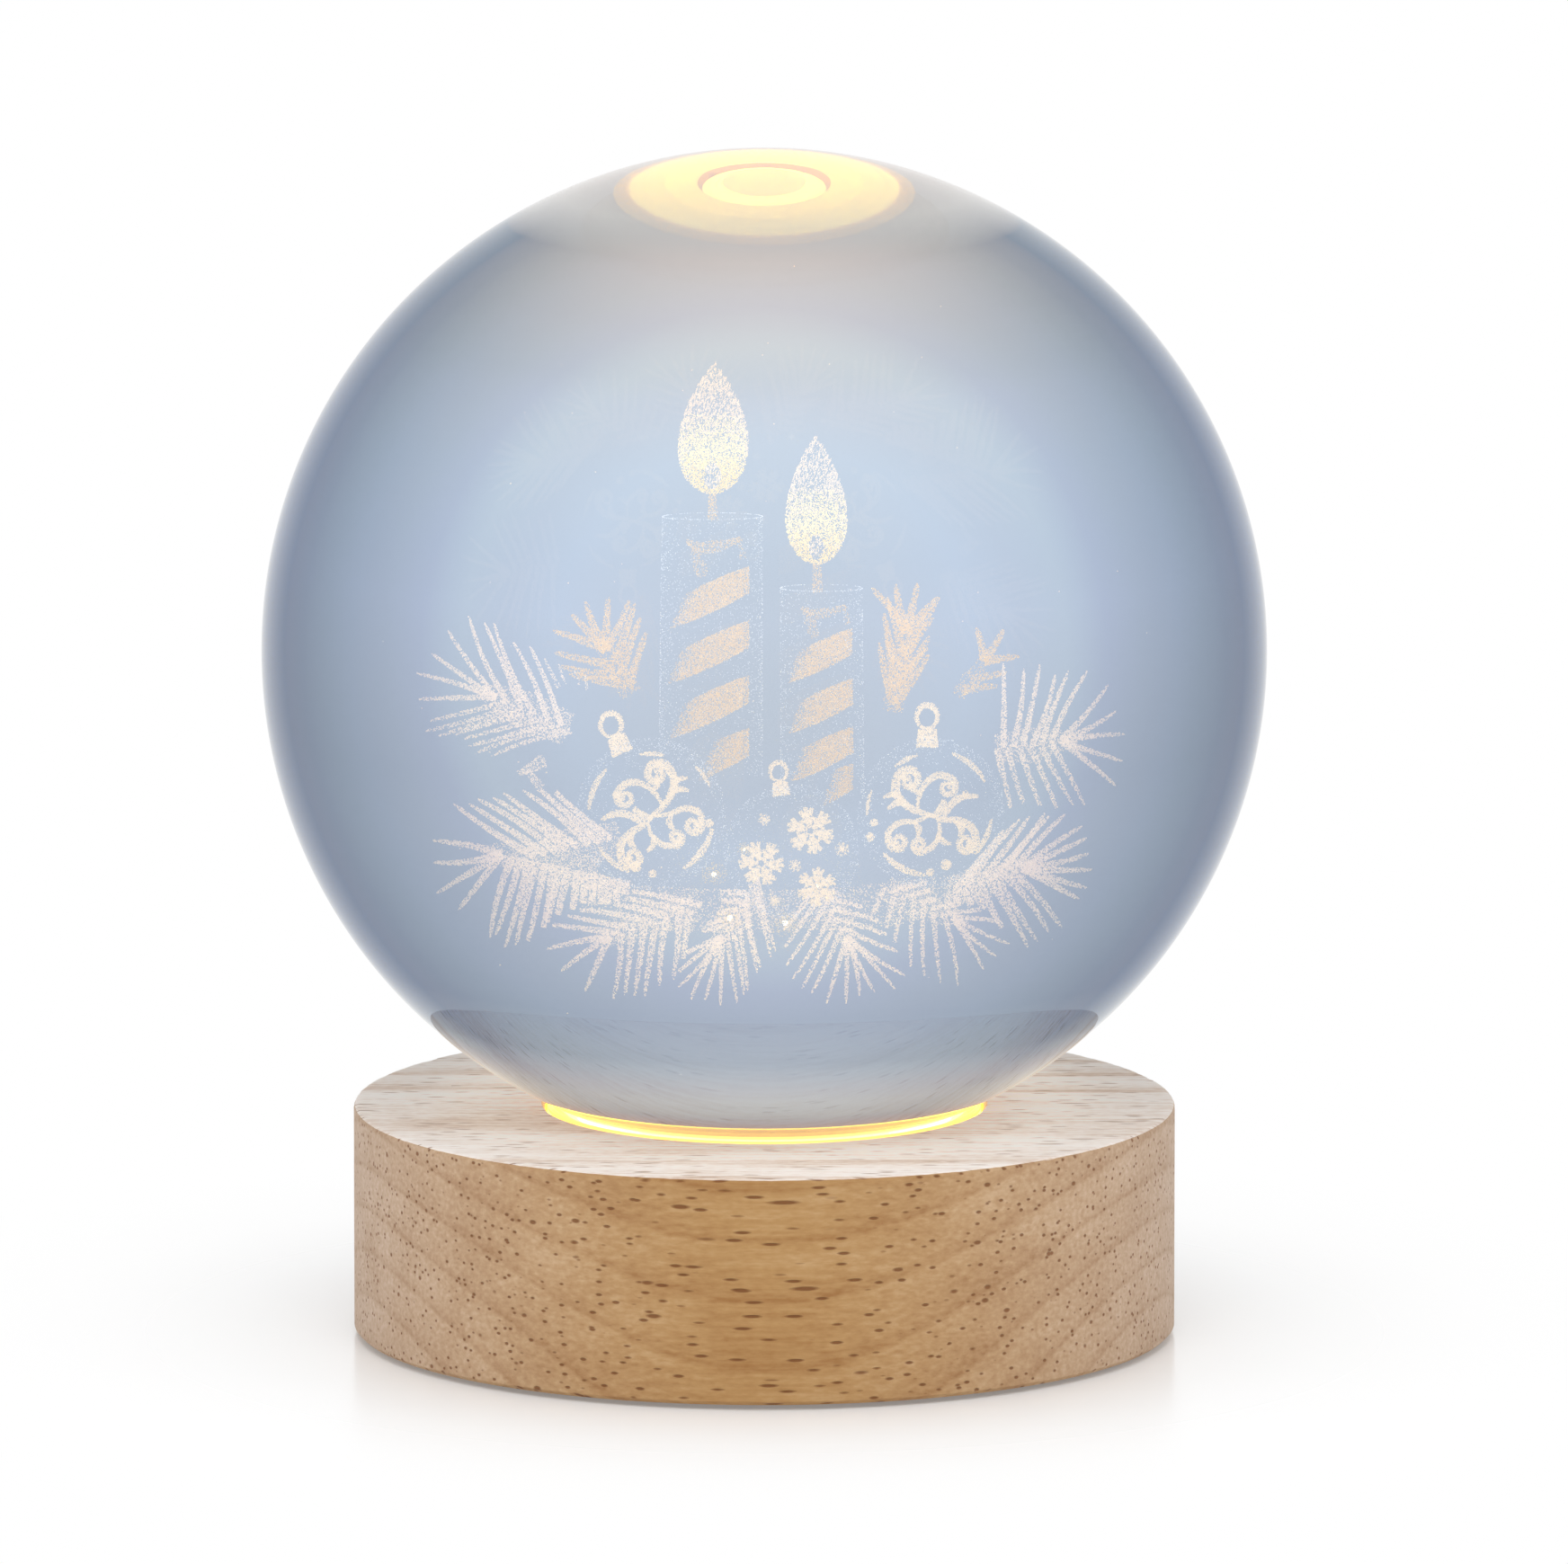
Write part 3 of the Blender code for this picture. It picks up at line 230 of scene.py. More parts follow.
# each kind of crack's painted glow, its colour and strength, for the lamp's light it scatters
CRACK_GLOWS = {
    "white": ("FFE9D8", 0.98),
    "cream": ("FFE7CC", 1.02),
    "tan": ("FFDDBC", 0.84),
    "amber": ("FFDFB0", 1.05),
    "yellow": ("FFE9BF", 1.1),
    "faint": ("F0F2F6", 1.0),
    # a painted highlight, for the LEDs' reflections
    "bright": ("FFF6DC", 3.0),
}
# the cracks' sizes in millimetres
FLAME_CRACK, STRIPE_CRACK, SKIN_CRACK = 0.062, 0.055, 0.042
LINE_CRACK, SHELL_CRACK = 0.07, 0.052
FIR_CRACK, REAR_CRACK, HALO_CRACK, DUST_CRACK = 0.06, 0.058, 0.05, 0.07
DUST_COUNT, DUST_REACH, DUST_MIDDLE = 70, 480, (850, 723)
CANDLES = (
    # name, the flame's foot, height and width, the axis, top, bottom and half width, the
    # bands and how thick they are, and the node
    ("engraved_candle_left", (791, 546), 162, 81, 791, 572, 862, 57,
     ((664, -0.7), (725, -0.75), (786, -0.7), (844, -0.1)), 36, "engraved_candle_1"),
    ("engraved_candle_right", (909, 627), 150, 70, 914, 654, 884, 46,
     ((729, -0.75), (785, -0.7), (838, -0.65), (878, 0.1)), 34, "engraved_candle_2"),
)
BAUBLES = (
    # name, middle, radius, depth, which way its scrolls turn and how far, its cap's foot,
    # lean and size, and the node
    ("engraved_bauble_left", (725, 905), 84, SIDE_DEPTH, 1, 0.3,
     (694, 838), -0.42, 1.0, "engraved_bauble_1"),
    ("engraved_bauble_middle", (880, 946), 75, MIDDLE_DEPTH, 0, 0.0,
     (869, 884), -0.12, 0.78, "engraved_bauble_2"),
    ("engraved_bauble_right", (1036, 905), 84, SIDE_DEPTH, -1, -0.15,
     (1031, 832), 0.0, 1.0, "engraved_bauble_3"),
)
VINES = (
    # how thick, which way and how far its end curls, and the places that it flows through
    (9.0, -1, 0.19, ((-0.04, -0.06), (0.14, 0.02), (0.34, 0.16), (0.47, 0.36), (0.44, 0.56))),
    (8.5, -1, 0.16, ((0.06, 0.0), (-0.14, -0.12), (-0.38, -0.18), (-0.56, -0.32), (-0.6, -0.5))),
    (7.2, -1, 0.15, ((0.2, 0.06), (0.16, 0.24), (0.04, 0.42), (-0.16, 0.52), (-0.34, 0.46))),
    (7.2, 1, 0.14, ((0.04, -0.04), (0.26, -0.08), (0.48, -0.06), (0.66, -0.16), (0.68, -0.32))),
    (6.8, -1, 0.12, ((-0.08, -0.1), (-0.08, -0.28), (0.02, -0.46), (0.2, -0.54))),
)
LEAVES = (
    # from where to where, how far it bows, and how thick it is
    ((-0.16, -0.12), (-0.72, 0.12), -0.22, 8),
    ((-0.02, -0.04), (-0.2, 0.16), 0.2, 10),
    ((0.3, 0.14), (0.62, 0.16), 0.25, 7),
    ((0.38, 0.22), (0.66, 0.34), 0.25, 6),
    ((-0.3, -0.17), (-0.36, -0.42), -0.3, 8),
    ((0.3, -0.08), (0.26, -0.32), -0.25, 7),
    ((0.12, 0.3), (0.24, 0.52), -0.2, 6),
    ((-0.06, -0.3), (-0.22, -0.5), 0.2, 6),
)
RIM_ARCS = (
    # from and to what angle, how far out, and how thick
    (118, 160, 0.9, 6),
    (196, 232, 0.9, 6),
    (284, 330, 0.9, 7),
    (60, 84, 0.86, 5),
    (8, 30, 0.94, 4),
)
# spots, each with its place and how far it reaches
BERRIES = ((-0.22, -0.76, 6.0), (0.02, -0.86, 4.5), (0.84, -0.12, 4.5), (-0.5, 0.26, 4.0))
SNOWFLAKES = (((901, 923), 26, 0.3), ((847, 959), 25, 0.1), ((908, 986), 22, 0.6))
STARS = (((850, 910), 7), ((884, 962), 7), ((936, 944), 8), ((861, 1001), 6), ((967, 930), 5))
# painted highlights: the LEDs' reflections, drawn as bright cracks with a painted halo
GLINTS = ((795, 971, 2.6), (812, 1020, 3.0), (873, 1026, 3.0), (828, 943, 1.4), (909, 984, 1.4))
NEEDLE_WIDTHS = (7.0, 9.0, 9.0, 8.2, 6.2, 6.2, 6.0, 9.0, 7.6)
SPRIGS = (
    # foot, tip, needle length, then fan and sides as sprig() takes them
    ((632, 812), (545, 776), 108, (4, 27, -24),
     ((5, 46, 38, 0.0, 0.9, 0.1), (8, -40, -36, -0.1, 0.9, 0.5))),
    ((668, 972), (552, 952), 104, (4, -2, -60),
     ((15, -96, -80, -0.3, 0.9, 0.1),)),
    ((692, 930), (588, 955), 106, (0, 0, 0),
     ((8, 54, 41, 0.05, 1.0, 0.0),)),
    ((775, 1006), (675, 1042), 86, (3, 6, -44),
     ((6, 30, 26, -0.15, 0.95, 0.15), (7, -66, -60, 0.0, 0.9, 0.3))),
    ((830, 990), (803, 1040), 88, (6, 34, -26),
     ((5, 62, 44, -0.1, 0.8, 0.3), (7, -44, -34, -0.5, 0.9, 0.3))),
    ((915, 990), (942, 1040), 86, (6, 44, -26),
     ((6, 66, 50, -0.3, 0.85, 0.3), (4, -44, -38, 0.0, 0.9, 0.3))),
    ((985, 985), (1062, 1022), 84, (4, 34, -16),
     ((7, 84, 50, -0.1, 0.9, 0.35), (5, -36, -28, 0.0, 0.95, 0.15))),
    ((1056, 992), (1142, 968), 94, (6, 46, -16),
     ((9, 92, 62, -0.1, 0.9, 0.4), (6, -36, -30, 0.0, 0.9, 0.1))),
    ((1108, 834), (1188, 826), 92, (5, 44, -40),
     ((6, 84, 62, -0.05, 0.9, 0.45), (6, -84, -52, 0.05, 0.9, 0.1))),
)
REAR_SPRIGS = (
    ((703, 772), (672, 722), 70, (5, 55, -37),
     ((3, -50, -45, 0.1, 0.7, 0.3), (3, 50, 50, 0.0, 0.8, 0.2))),
    ((992, 792), (1010, 702), 66, (4, 30, -50),
     ((5, 26, 22, 0.0, 0.8, 0.2), (4, -22, -26, 0.0, 0.8, 0.2))),
    ((1066, 775), (1098, 735), 46, (3, 44, -52),
     ((2, 44, 40, 0.0, 0.6, 0.4),)),
)
REAR_WIDTH, REAR_DENSITY = 11.0, 1.4
BROKEN_NEEDLES = (
    ((603, 733), (620, 765), 5), ((620, 740), (627, 762), 4), ((638, 746), (644, 764), 3),
    ((650, 752), (653, 768), 3), ((575, 862), (606, 846), 16), ((585, 858), (602, 878), 12),
)
# where needles crowd together between the sprigs, and how wide
WEB_DENSITY, WEB_GRAIN = 0.22, 0.3
WEB = (
    (640, 985, 44), (705, 1006, 46), (775, 1010, 50), (850, 1008, 44), (910, 1010, 46),
    (985, 1004, 50), (1040, 996, 44), (1085, 985, 30),
)

# The studio: how fast the floor turns white away from the base, and its soft lamps
FLOOR_FADE = 45 * MM
FLOOR_SHARES = (
    (0.0, 0.2),
    (0.1, 0.36),
    (0.165, 0.45),
    (0.3, 0.64),
    (0.58, 0.89),
    (0.85, 0.97),
    (1.0, 1.0),
)
SKY_LIGHT = 0.4
LAMPS = (
    # name, place, width and power
    ("top_light", (0.0, -0.05, 0.75), 0.7, 2.1),
    ("front_light", (0.0, -0.45, 0.52), 0.5, 1.9),
    ("left_light", (-0.5, -0.1, 0.42), 0.5, 0.85),
    ("right_light", (0.5, -0.1, 0.42), 0.5, 0.85),
)


# Small tools


def colour(code):
    """A linear RGBA colour from an sRGB hex code, or a grey from its linear share."""
    if not isinstance(code, str):
        return (code, code, code, 1.0)
    channels = [int(code[i : i + 2], 16) / 255 for i in (0, 2, 4)]
    linear = [c / 12.92 if c <= 0.04045 else ((c + 0.055) / 1.055) ** 2.4 for c in channels]
    return (*linear, 1.0)


def per_mm(size):
    """The texture scale at which one feature is this many millimetres wide."""
    return 1.0 / (size * MM)


def add(tree, kind, inputs=None, stops=None, **settings):
    """Adds a node, a shader node where its kind doesn't say, and one that mixes colours where
    it is a Mix. inputs gives each socket a value or the socket that feeds it, and stops are a
    colour ramp's (place, colour) pairs."""
    made = tree.nodes.new(kind if "Node" in kind else "ShaderNode" + kind)
    if kind == "Mix":
        made.data_type = "RGBA"
    for key, value in settings.items():
        setattr(made, key, value)
    for key, value in (inputs or {}).items():
        if isinstance(value, bpy.types.NodeSocket):
            tree.links.new(value, made.inputs[key])
        else:
            made.inputs[key].default_value = value
    if stops:
        ramp = made.color_ramp.elements
        while len(ramp) > 1:
            ramp.remove(ramp[-1])
        for number, (place, code) in enumerate(stops):
            stop = ramp[0] if number == 0 else ramp.new(place)
            stop.position = place
            stop.color = colour(code)
    return made


def fresh(name, inputs=None):
    """A new material with its node tree and its shader, whose inputs can be given."""
    look = bpy.data.materials.new(name)
    look.use_nodes = True
    shader = look.node_tree.nodes["Principled BSDF"]
    for key, value in (inputs or {}).items():
        shader.inputs[key].default_value = value
    return look, look.node_tree, shader


def place_in(tree, stretch=(1.0, 1.0, 1.0), shift=(0.0, 0.0, 0.0)):
    """Object coordinates, stretched."""
    where = add(tree, "TexCoord").outputs["Object"]
    return add(
        tree, "Mapping", {"Vector": where, "Scale": stretch, "Location": shift}
    ).outputs["Vector"]


def finish_shader(tree, shader, base=None, roughness=None, height=None, depth=0.0):
    """Feeds a shader's colour and roughness, and its bump from a height of that depth."""
    if base:
        tree.links.new(base, shader.inputs["Base Color"])
    if roughness:
        tree.links.new(roughness, shader.inputs["Roughness"])
    if height:
        bump = add(tree, "Bump", {"Height": height, "Distance": depth, "Strength": 1.0})
        tree.links.new(bump.outputs["Normal"], shader.inputs["Normal"])


def light_up(tree, shader, code, strength, glow=None):
    """Makes a shader shine in one colour, or in the one that feeds it."""
    shader.inputs["Emission Color"].default_value = colour(code)
    shader.inputs["Emission Strength"].default_value = strength
    if glow:
        tree.links.new(glow, shader.inputs["Emission Color"])


def thing(name, bm, looks=()):
    """An object from a bmesh, which is used up."""
    mesh = bpy.data.meshes.new(name)
    bm.to_mesh(mesh)
    bm.free()
    for look in looks:
        mesh.materials.append(look)
    made = bpy.data.objects.new(name, mesh)
    scene.collection.objects.link(made)
    return made


def piece(name, bm, looks, body, replaced=()):
    """A finished piece from a bmesh, riding on its body."""
    made = thing(name, bm, looks)
    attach(made, body)
    if replaced:
        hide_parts(*replaced)
    return made


def applied(made):
    """An object's mesh with its modifiers applied."""
    bpy.context.view_layer.update()
    graph = bpy.context.evaluated_depsgraph_get()
    return bpy.data.meshes.new_from_object(made.evaluated_get(graph))


# Materials


def crystal_glass():
    """Optical crystal glass, ground and polished: clear, with a cool blue tint and a painted
    shade that turns it grey and dark where one looks through its edge, painted light that pales
    it by height, and a painted warm glow where it stands over the lamp."""
    clear = {"Roughness": 0.0, "IOR": GLASS_IOR, "Transmission Weight": 1.0}
    look, tree, shader = fresh("polished_crystal_glass", clear)
    facing = add(tree, "LayerWeight", {"Blend": 0.5}).outputs["Facing"]
    # the tint darkens towards the rim: a painted shade, not the glass's own colour
    tint = add(tree, "ValToRGB", {"Fac": facing}, GLASS_TINT_AND_RIM_SHADE).outputs["Color"]
    # how high the surface is, from 0 under the ball to 1 at its top
    level = add(tree, "SeparateXYZ", {0: place_in(tree)}).outputs["Z"]
    low, high = BALL_MIDDLE.z - BALL_RADIUS, BALL_MIDDLE.z + BALL_RADIUS
    height = add(tree, "MapRange", {"Value": level, "From Min": low, "From Max": high})
    height = height.outputs[0]
    # painted light by height, that the tint is divided by
    painted_light = add(tree, "ValToRGB", {"Fac": height}, GLASS_PAINTED_LIGHT_LEVELS).outputs["Color"]
    both = {0: 1.0, 6: tint, 7: painted_light}
    final = add(tree, "Mix", both, blend_type="DIVIDE", clamp_result=True).outputs[2]
    # painted light: warm colour at the top and near the lamp
    for start, end, most, code in GLASS_PAINTED_WARM_ZONES:
        reach = {"Value": height, "From Min": start, "From Max": end, "To Max": most}
        share = add(tree, "MapRange", reach).outputs[0]
        final = add(tree, "Mix", {0: share, 6: final, 7: colour(code)}).outputs[2]
    finish_shader(tree, shader, final)
    # painted glow near the bottom, over the lamp
    shine = add(tree, "ValToRGB", {"Fac": height}, GLASS_PAINTED_GLOW).outputs["Color"]
    light_up(tree, shader, "000000", 1.0, shine)
    look.cycles.emission_sampling = "NONE"
    return look


def grained(name, size, detail, shades, rough, depth, stretch=(1.0, 1.0, 1.0), inputs=None):
    """A material with a fine grain, its size and depth in millimetres, that shades its colour
    and its roughness between two values."""
    look, tree, shader = fresh(name, inputs)
    where = place_in(tree, stretch)
    grain = add(tree, "TexNoise", {"Vector": where, "Scale": per_mm(size), "Detail": detail})
    grain = grain.outputs["Fac"]
    dark, light = shades
    base = add(tree, "Mix", {0: grain, 6: dark, 7: light}).outputs[2]
    dull = add(tree, "MapRange", {"Value": grain, "To Min": rough[0], "To Max": rough[1]})
    finish_shader(tree, shader, base, dull.outputs[0], grain if depth else None, depth * MM)
    return look, tree, shader


def shades_of(code, share):
    """A colour's dark shade, as a share of its light, and the colour."""
    light = colour(code)
    return [c * share for c in light[:3]] + [1.0], light


def engraved(name, code, strength):
    """Laser made micro cracks in the glass, given a painted glow for the lamp's light that they
    catch and scatter.
    """
    shades = colour("8F8F92"), colour("B2B0AC")
    look, tree, shader = grained("engraved_cracks_" + name, 0.5, 2.0, shades, (0.6, 0.9), 0.0)
    light_up(tree, shader, code, strength)
    look.cycles.emission_sampling = "NONE"
    return look


def rubberwood(name, glow=0.0):
    """Rubberwood, turned and sanded, bare: honey coloured, paled at the ends by a painted sheen
    and on top by painted light, with broad growth rings and open pores. The grain runs along X,
    so the pores are dashes at the front and dots at the ends."""
    look, tree, shader = fresh(name)
    # the rings run round a pith that lies under the block, parallel to X
    where = place_in(tree, (0.4, 1.0, 1.0))
    wander = add(tree, "TexNoise", {"Vector": where, "Scale": per_mm(24.0), "Detail": 1.0})
    where = place_in(tree, (0.0, 1.0, 1.0), PITH)
    inputs = {0: wander.outputs["Color"], 1: (0.0, RING_WANDER, RING_WANDER), 2: where}
    bent = add(tree, "VectorMath", inputs, operation="MULTIPLY_ADD").outputs["Vector"]
    out = add(tree, "VectorMath", {0: bent}, operation="LENGTH").outputs["Value"]
    inputs = {0: out, 1: 1.0 / RING_PERIOD, 2: RING_START}
    ring = add(tree, "Math", inputs, operation="MULTIPLY_ADD").outputs[0]
    ring = add(tree, "Math", {0: ring}, operation="FRACT").outputs[0]
    ring = add(tree, "ValToRGB", {"Fac": ring}, RING_SHADES).outputs["Color"]
    inputs = {0: ring, 1: RING_SHARE, 2: 0.0}
    grain = add(tree, "Math", inputs, operation="MULTIPLY_ADD").outputs[0]
    streaks = {}
    for kind, stretch, size, detail, share in STREAKS:
        where = place_in(tree, (stretch, 1.0, 1.0))
        streak = add(tree, "TexNoise", {"Vector": where, "Scale": per_mm(size), "Detail": detail})
        streaks[kind] = streak.outputs["Fac"]
        inputs = {0: streaks[kind], 1: share, 2: grain}
        grain = add(tree, "Math", inputs, operation="MULTIPLY_ADD").outputs[0]
    fibres = streaks["fibres"]
    faces = add(tree, "SeparateXYZ", {0: add(tree, "TexCoord").outputs["Normal"]}).outputs
    ends = add(tree, "Math", {0: faces["X"], 1: faces["X"]}, operation="MULTIPLY").outputs[0]
    up = add(tree, "MapRange", {"Value": faces["Z"], "From Min": 0.5, "From Max": 0.85}).outputs[0]
    # the ends take paler shades for a painted sheen, and the top paler still for painted light
    wood, pore_colour = None, None
    for turned, (stops, pore_code) in ((None, FRONT_WOOD), (ends, END_WOOD_SHEEN), (up, LIT_TOP_WOOD)):
        side = add(tree, "ValToRGB", {"Fac": grain}, stops).outputs["Color"]
        pore = colour(pore_code)
        if turned:
            side = add(tree, "Mix", {0: turned, 6: wood, 7: side}).outputs[2]
            pore = add(tree, "Mix", {0: turned, 6: pore_colour, 7: pore}).outputs[2]
        wood, pore_colour = side, pore
    # vessels: cells much longer along the grain than across it, some of them open
    pores = None
    for across, along, width, share in PORES:
        where = place_in(tree, (across / along, 1.0, 1.0))
        cells = add(tree, "TexVoronoi", {"Vector": where, "Scale": per_mm(across)}).outputs
        drawn = add(tree, "SeparateXYZ", {0: cells["Color"]}).outputs["X"]
        opened = add(tree, "Math", {0: drawn, 1: share}, operation="LESS_THAN").outputs[0]
        edge = {"From Min": width * 0.55, "From Max": width, "To Min": 1.0, "To Max": 0.0}
        near = add(tree, "MapRange", {"Value": cells["Distance"], **edge}).outputs[0]
        near = add(tree, "Math", {0: near, 1: opened}, operation="MULTIPLY").outputs[0]
        if pores:
            near = add(tree, "Math", {0: near, 1: pores}, operation="MAXIMUM").outputs[0]
        pores = near
    shown = add(tree, "Math", {0: pores, 1: PORE_STRENGTH}, operation="MULTIPLY").outputs[0]
    final = add(tree, "Mix", {0: shown, 6: wood, 7: pore_colour}).outputs[2]
    rough = add(tree, "MapRange", {"Value": fibres, "To Min": 0.55, "To Max": 0.8}).outputs[0]
    height = add(tree, "Math", {0: pores, 1: -1.6, 2: fibres}, operation="MULTIPLY_ADD")
    finish_shader(tree, shader, final, rough, height.outputs[0], 0.04 * MM)
    shader.inputs["Specular IOR Level"].default_value = 0.35
    # a painted glow for the lamp's light on the wood in the well
    if glow:
        light_up(tree, shader, LIT_WOOD, glow)
        return look
    # painted light: a glow on the wood's top round the ball, for the light that leaves the ball and
    # falls back on it
    where = place_in(tree, (1.0, 1.0, 0.0))
    out = add(tree, "VectorMath", {0: where}, operation="LENGTH").outputs["Value"]
    inputs = {"Value": out, "From Min": BASE_RADIUS, "From Max": GROOVE_RADIUS}
    inputs = {0: add(tree, "MapRange", inputs).outputs[0], 1: SPILL, 2: SPILL_AT_EDGE}
    spill = add(tree, "Math", inputs, operation="MULTIPLY_ADD").outputs[0]
    spill = add(tree, "Math", {0: spill, 1: up}, operation="MULTIPLY").outputs[0]
    spilt = add(tree, "Mix", {0: spill, 6: colour("000000"), 7: final}).outputs[2]
    light_up(tree, shader, "000000", 1.0, spilt)
    return look


def clear_silicone():
    """Clear silicone rubber, moulded: milky, with a painted gold glow for the lamp behind it."""
    shades = colour("D8BE98"), colour("E8D2B0")
    clear = {"Transmission Weight": 0.1, "IOR": 1.41}
    look, tree, shader = grained(
        "moulded_clear_silicone", 1.5, 3.0, shades, (0.3, 0.45), 0.01, inputs=clear
    )
    seat = BALL_MIDDLE.z - math.sqrt((BALL_RADIUS + SEAT_GAP) ** 2 - SEAT_RADIUS**2)
    level = add(tree, "SeparateXYZ", {0: place_in(tree)}).outputs["Z"]
    inputs = {"Value": level, "From Min": seat, "From Max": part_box("seat_ring")[1].z}
    rise = add(tree, "MapRange", inputs).outputs[0]
    glow = add(tree, "ValToRGB", {"Fac": rise}, RING_GLOW).outputs["Color"]
    light_up(tree, shader, *RING_LIGHT, glow)
    return look


def clear_acrylic():
    """Clear acrylic, moulded: a glassy dome with faint flow marks, and a painted glow for the LEDs'
    light in it.
    """
    shades = colour("FFF3D8"), colour("FFFAEC")
    clear = {"Transmission Weight": 0.7, "IOR": 1.49}
    look, tree, shader = grained(
        "moulded_clear_acrylic", 2.0, 1.0, shades, (0.03, 0.1), 0.01, inputs=clear
    )
    light_up(tree, shader, *DOME_LIGHT)
    return look


def lit_phosphor(name, strength):
    """The phosphor of a lit LED: warm white, with the grain of the powder in its resin."""
    shades = colour("F2D884"), colour("FFF0B4")
    look, tree, shader = grained(name, 0.08, 3.0, shades, (0.4, 0.6), 0.01)
    light_up(tree, shader, LED_COLOUR, strength)
    return look


def moulded(name, code, roughness, grit, depth):
    """Injection moulded plastic, or rubber, with the fine texture of a spark eroded mould."""
    rough = roughness - 0.08, roughness + 0.08
    return grained(name, grit, 4.0, shades_of(code, 0.8), rough, depth)[0]


def solder_mask(name, board_code, track_code):
    """A printed circuit board under its lacquer: glossy, with the copper tracks showing
    through a little and the cloth of the board as a fine weave."""
    look, tree, shader = fresh(name)
    inputs = {
        "Vector": place_in(tree),
        "Color1": colour(board_code),
        "Color2": colour(board_code),
        "Mortar": colour(track_code),
        "Scale": 1.0,
        "Mortar Size": 0.09 * MM,
        "Brick Width": 4.1 * MM,
        "Row Height": 1.1 * MM,
    }
    tracks = add(tree, "TexBrick", inputs).outputs
    inputs = {"Vector": place_in(tree), "Scale": math.tau / 20 * per_mm(0.4), "Distortion": 1.0}
    weave = add(tree, "TexWave", inputs, bands_direction="DIAGONAL").outputs["Fac"]
    rough = add(tree, "MapRange", {"Value": weave, "To Min": 0.25, "To Max": 0.4}).outputs[0]
    inputs = {0: tracks["Fac"], 1: 2.0, 2: weave}
    height = add(tree, "Math", inputs, operation="MULTIPLY_ADD").outputs[0]
    finish_shader(tree, shader, tracks["Color"], rough, height, 0.01 * MM)
    return look


def tinned_part(name, code, middle, half):
    """A small fired ceramic part with tinned ends, dull in the middle and bright outside."""
    look, tree, shader = fresh(name)
    where = place_in(tree, shift=(-middle, 0.0, 0.0))
    across = add(tree, "SeparateXYZ", {0: where}).outputs["X"]
    across = add(tree, "Math", {0: across}, operation="ABSOLUTE").outputs[0]
    tin = add(tree, "Math", {0: across, 1: half}, operation="GREATER_THAN").outputs[0]
    grains = add(tree, "TexNoise", {"Vector": where, "Scale": per_mm(0.15), "Detail": 3.0})
    grains = grains.outputs["Fac"]
    dark, light = shades_of(code, 0.8)
    body = add(tree, "Mix", {0: grains, 6: dark, 7: light}).outputs[2]
    base = add(tree, "Mix", {0: tin, 6: body, 7: colour("C9C8C4")})
    rough = add(tree, "MapRange", {"Value": tin, "To Min": 0.6, "To Max": 0.3}).outputs[0]
    finish_shader(tree, shader, base.outputs[2], rough, grains, 0.01 * MM)
    tree.links.new(tin, shader.inputs["Metallic"])
    return look


def lead_insulation(name, code):
    """PVC wire insulation, extruded: glossy, with faint lengthwise marks from the die."""
    shades = shades_of(code, 0.75)
    return grained(name, 0.25, 2.0, shades, (0.25, 0.4), 0.005, (0.3, 0.3, 1.0))[0]


def nickel_steel():
    """Steel, stamped or turned and nickel plated: bright, with fine rubbed lines."""
    shades = colour("B7B8BA"), colour("D2D2D4")
    rubbed, metal = (0.1, 1.0, 1.0), {"Metallic": 1.0}
    return grained(
        "nickel_plated_steel", 0.2, 3.0, shades, (0.2, 0.38), 0.002, rubbed, metal
    )[0]


# The wooden base


def block_cutter(size, corner, from_y, to_y, middle_z):
    """A cutter with rounded corners that runs towards the back."""
    width, height = size
    bm = bmesh.new()
    place = Matrix.Translation((0.0, (from_y + to_y) / 2, middle_z))
    shape = Matrix.Diagonal((width, to_y - from_y, height, 1.0))
    bmesh.ops.create_cube(bm, size=1.0, matrix=place @ shape)
    along = [edge for edge in bm.edges if abs(edge.verts[0].co.y - edge.verts[1].co.y) > MM]
    bmesh.ops.bevel(
        bm, geom=along, offset=corner, segments=10, profile=0.5, affect="EDGES", material=-1
    )
    return bm


def bore_cutter(bm, radius, start, end):
    """Adds a round cutter between two points."""
    start, end = Vector(start), Vector(end)
    turn = (end - start).to_track_quat("Z", "Y").to_matrix().to_4x4()
    bmesh.ops.create_cone(
        bm,
        cap_ends=True,
        segments=BORE_SIDES,
        radius1=radius,
        radius2=radius,
        depth=(end - start).length,
        matrix=Matrix.Translation((start + end) / 2) @ turn,
    )
    return bm


def base_cutters():
    """The port and its socket's hole, the button's two bores, and the pilot holes."""
    out = BASE_RADIUS + OVERRUN
    corner = SOCKET_HOLE[1] / 2 - 0.002 * MM
    cutters = [
        block_cutter(PORT, PORT_CORNER, PORT_FLOOR, out, USB_MIDDLE),
        block_cutter(SOCKET_HOLE, corner, usb_low.y, PORT_FLOOR + OVERRUN, USB_MIDDLE),
    ]
    for radius, from_y, to_y in (
        (BUTTON_FLANGE_HOLE, BUTTON_ROOM, SHOULDER),
        (BUTTON_HOLE, SHOULDER - OVERRUN, out),
    ):
        start, end = (BUTTON_X, from_y, BUTTON_Z), (BUTTON_X, to_y, BUTTON_Z)
        cutters.append(bore_cutter(bmesh.new(), radius, start, end))
    pilots = bmesh.new()
    for kind, copies, radius, low, high in PILOTS:
        for number in range(1, copies + 1):
            corner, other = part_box(f"{kind}_{number}")
            x, y = (corner.x + other.x) / 2, (corner.y + other.y) / 2
            bore_cutter(pilots, radius, (x, y, low - MM / 2), (x, y, high))
    return cutters + [pilots]


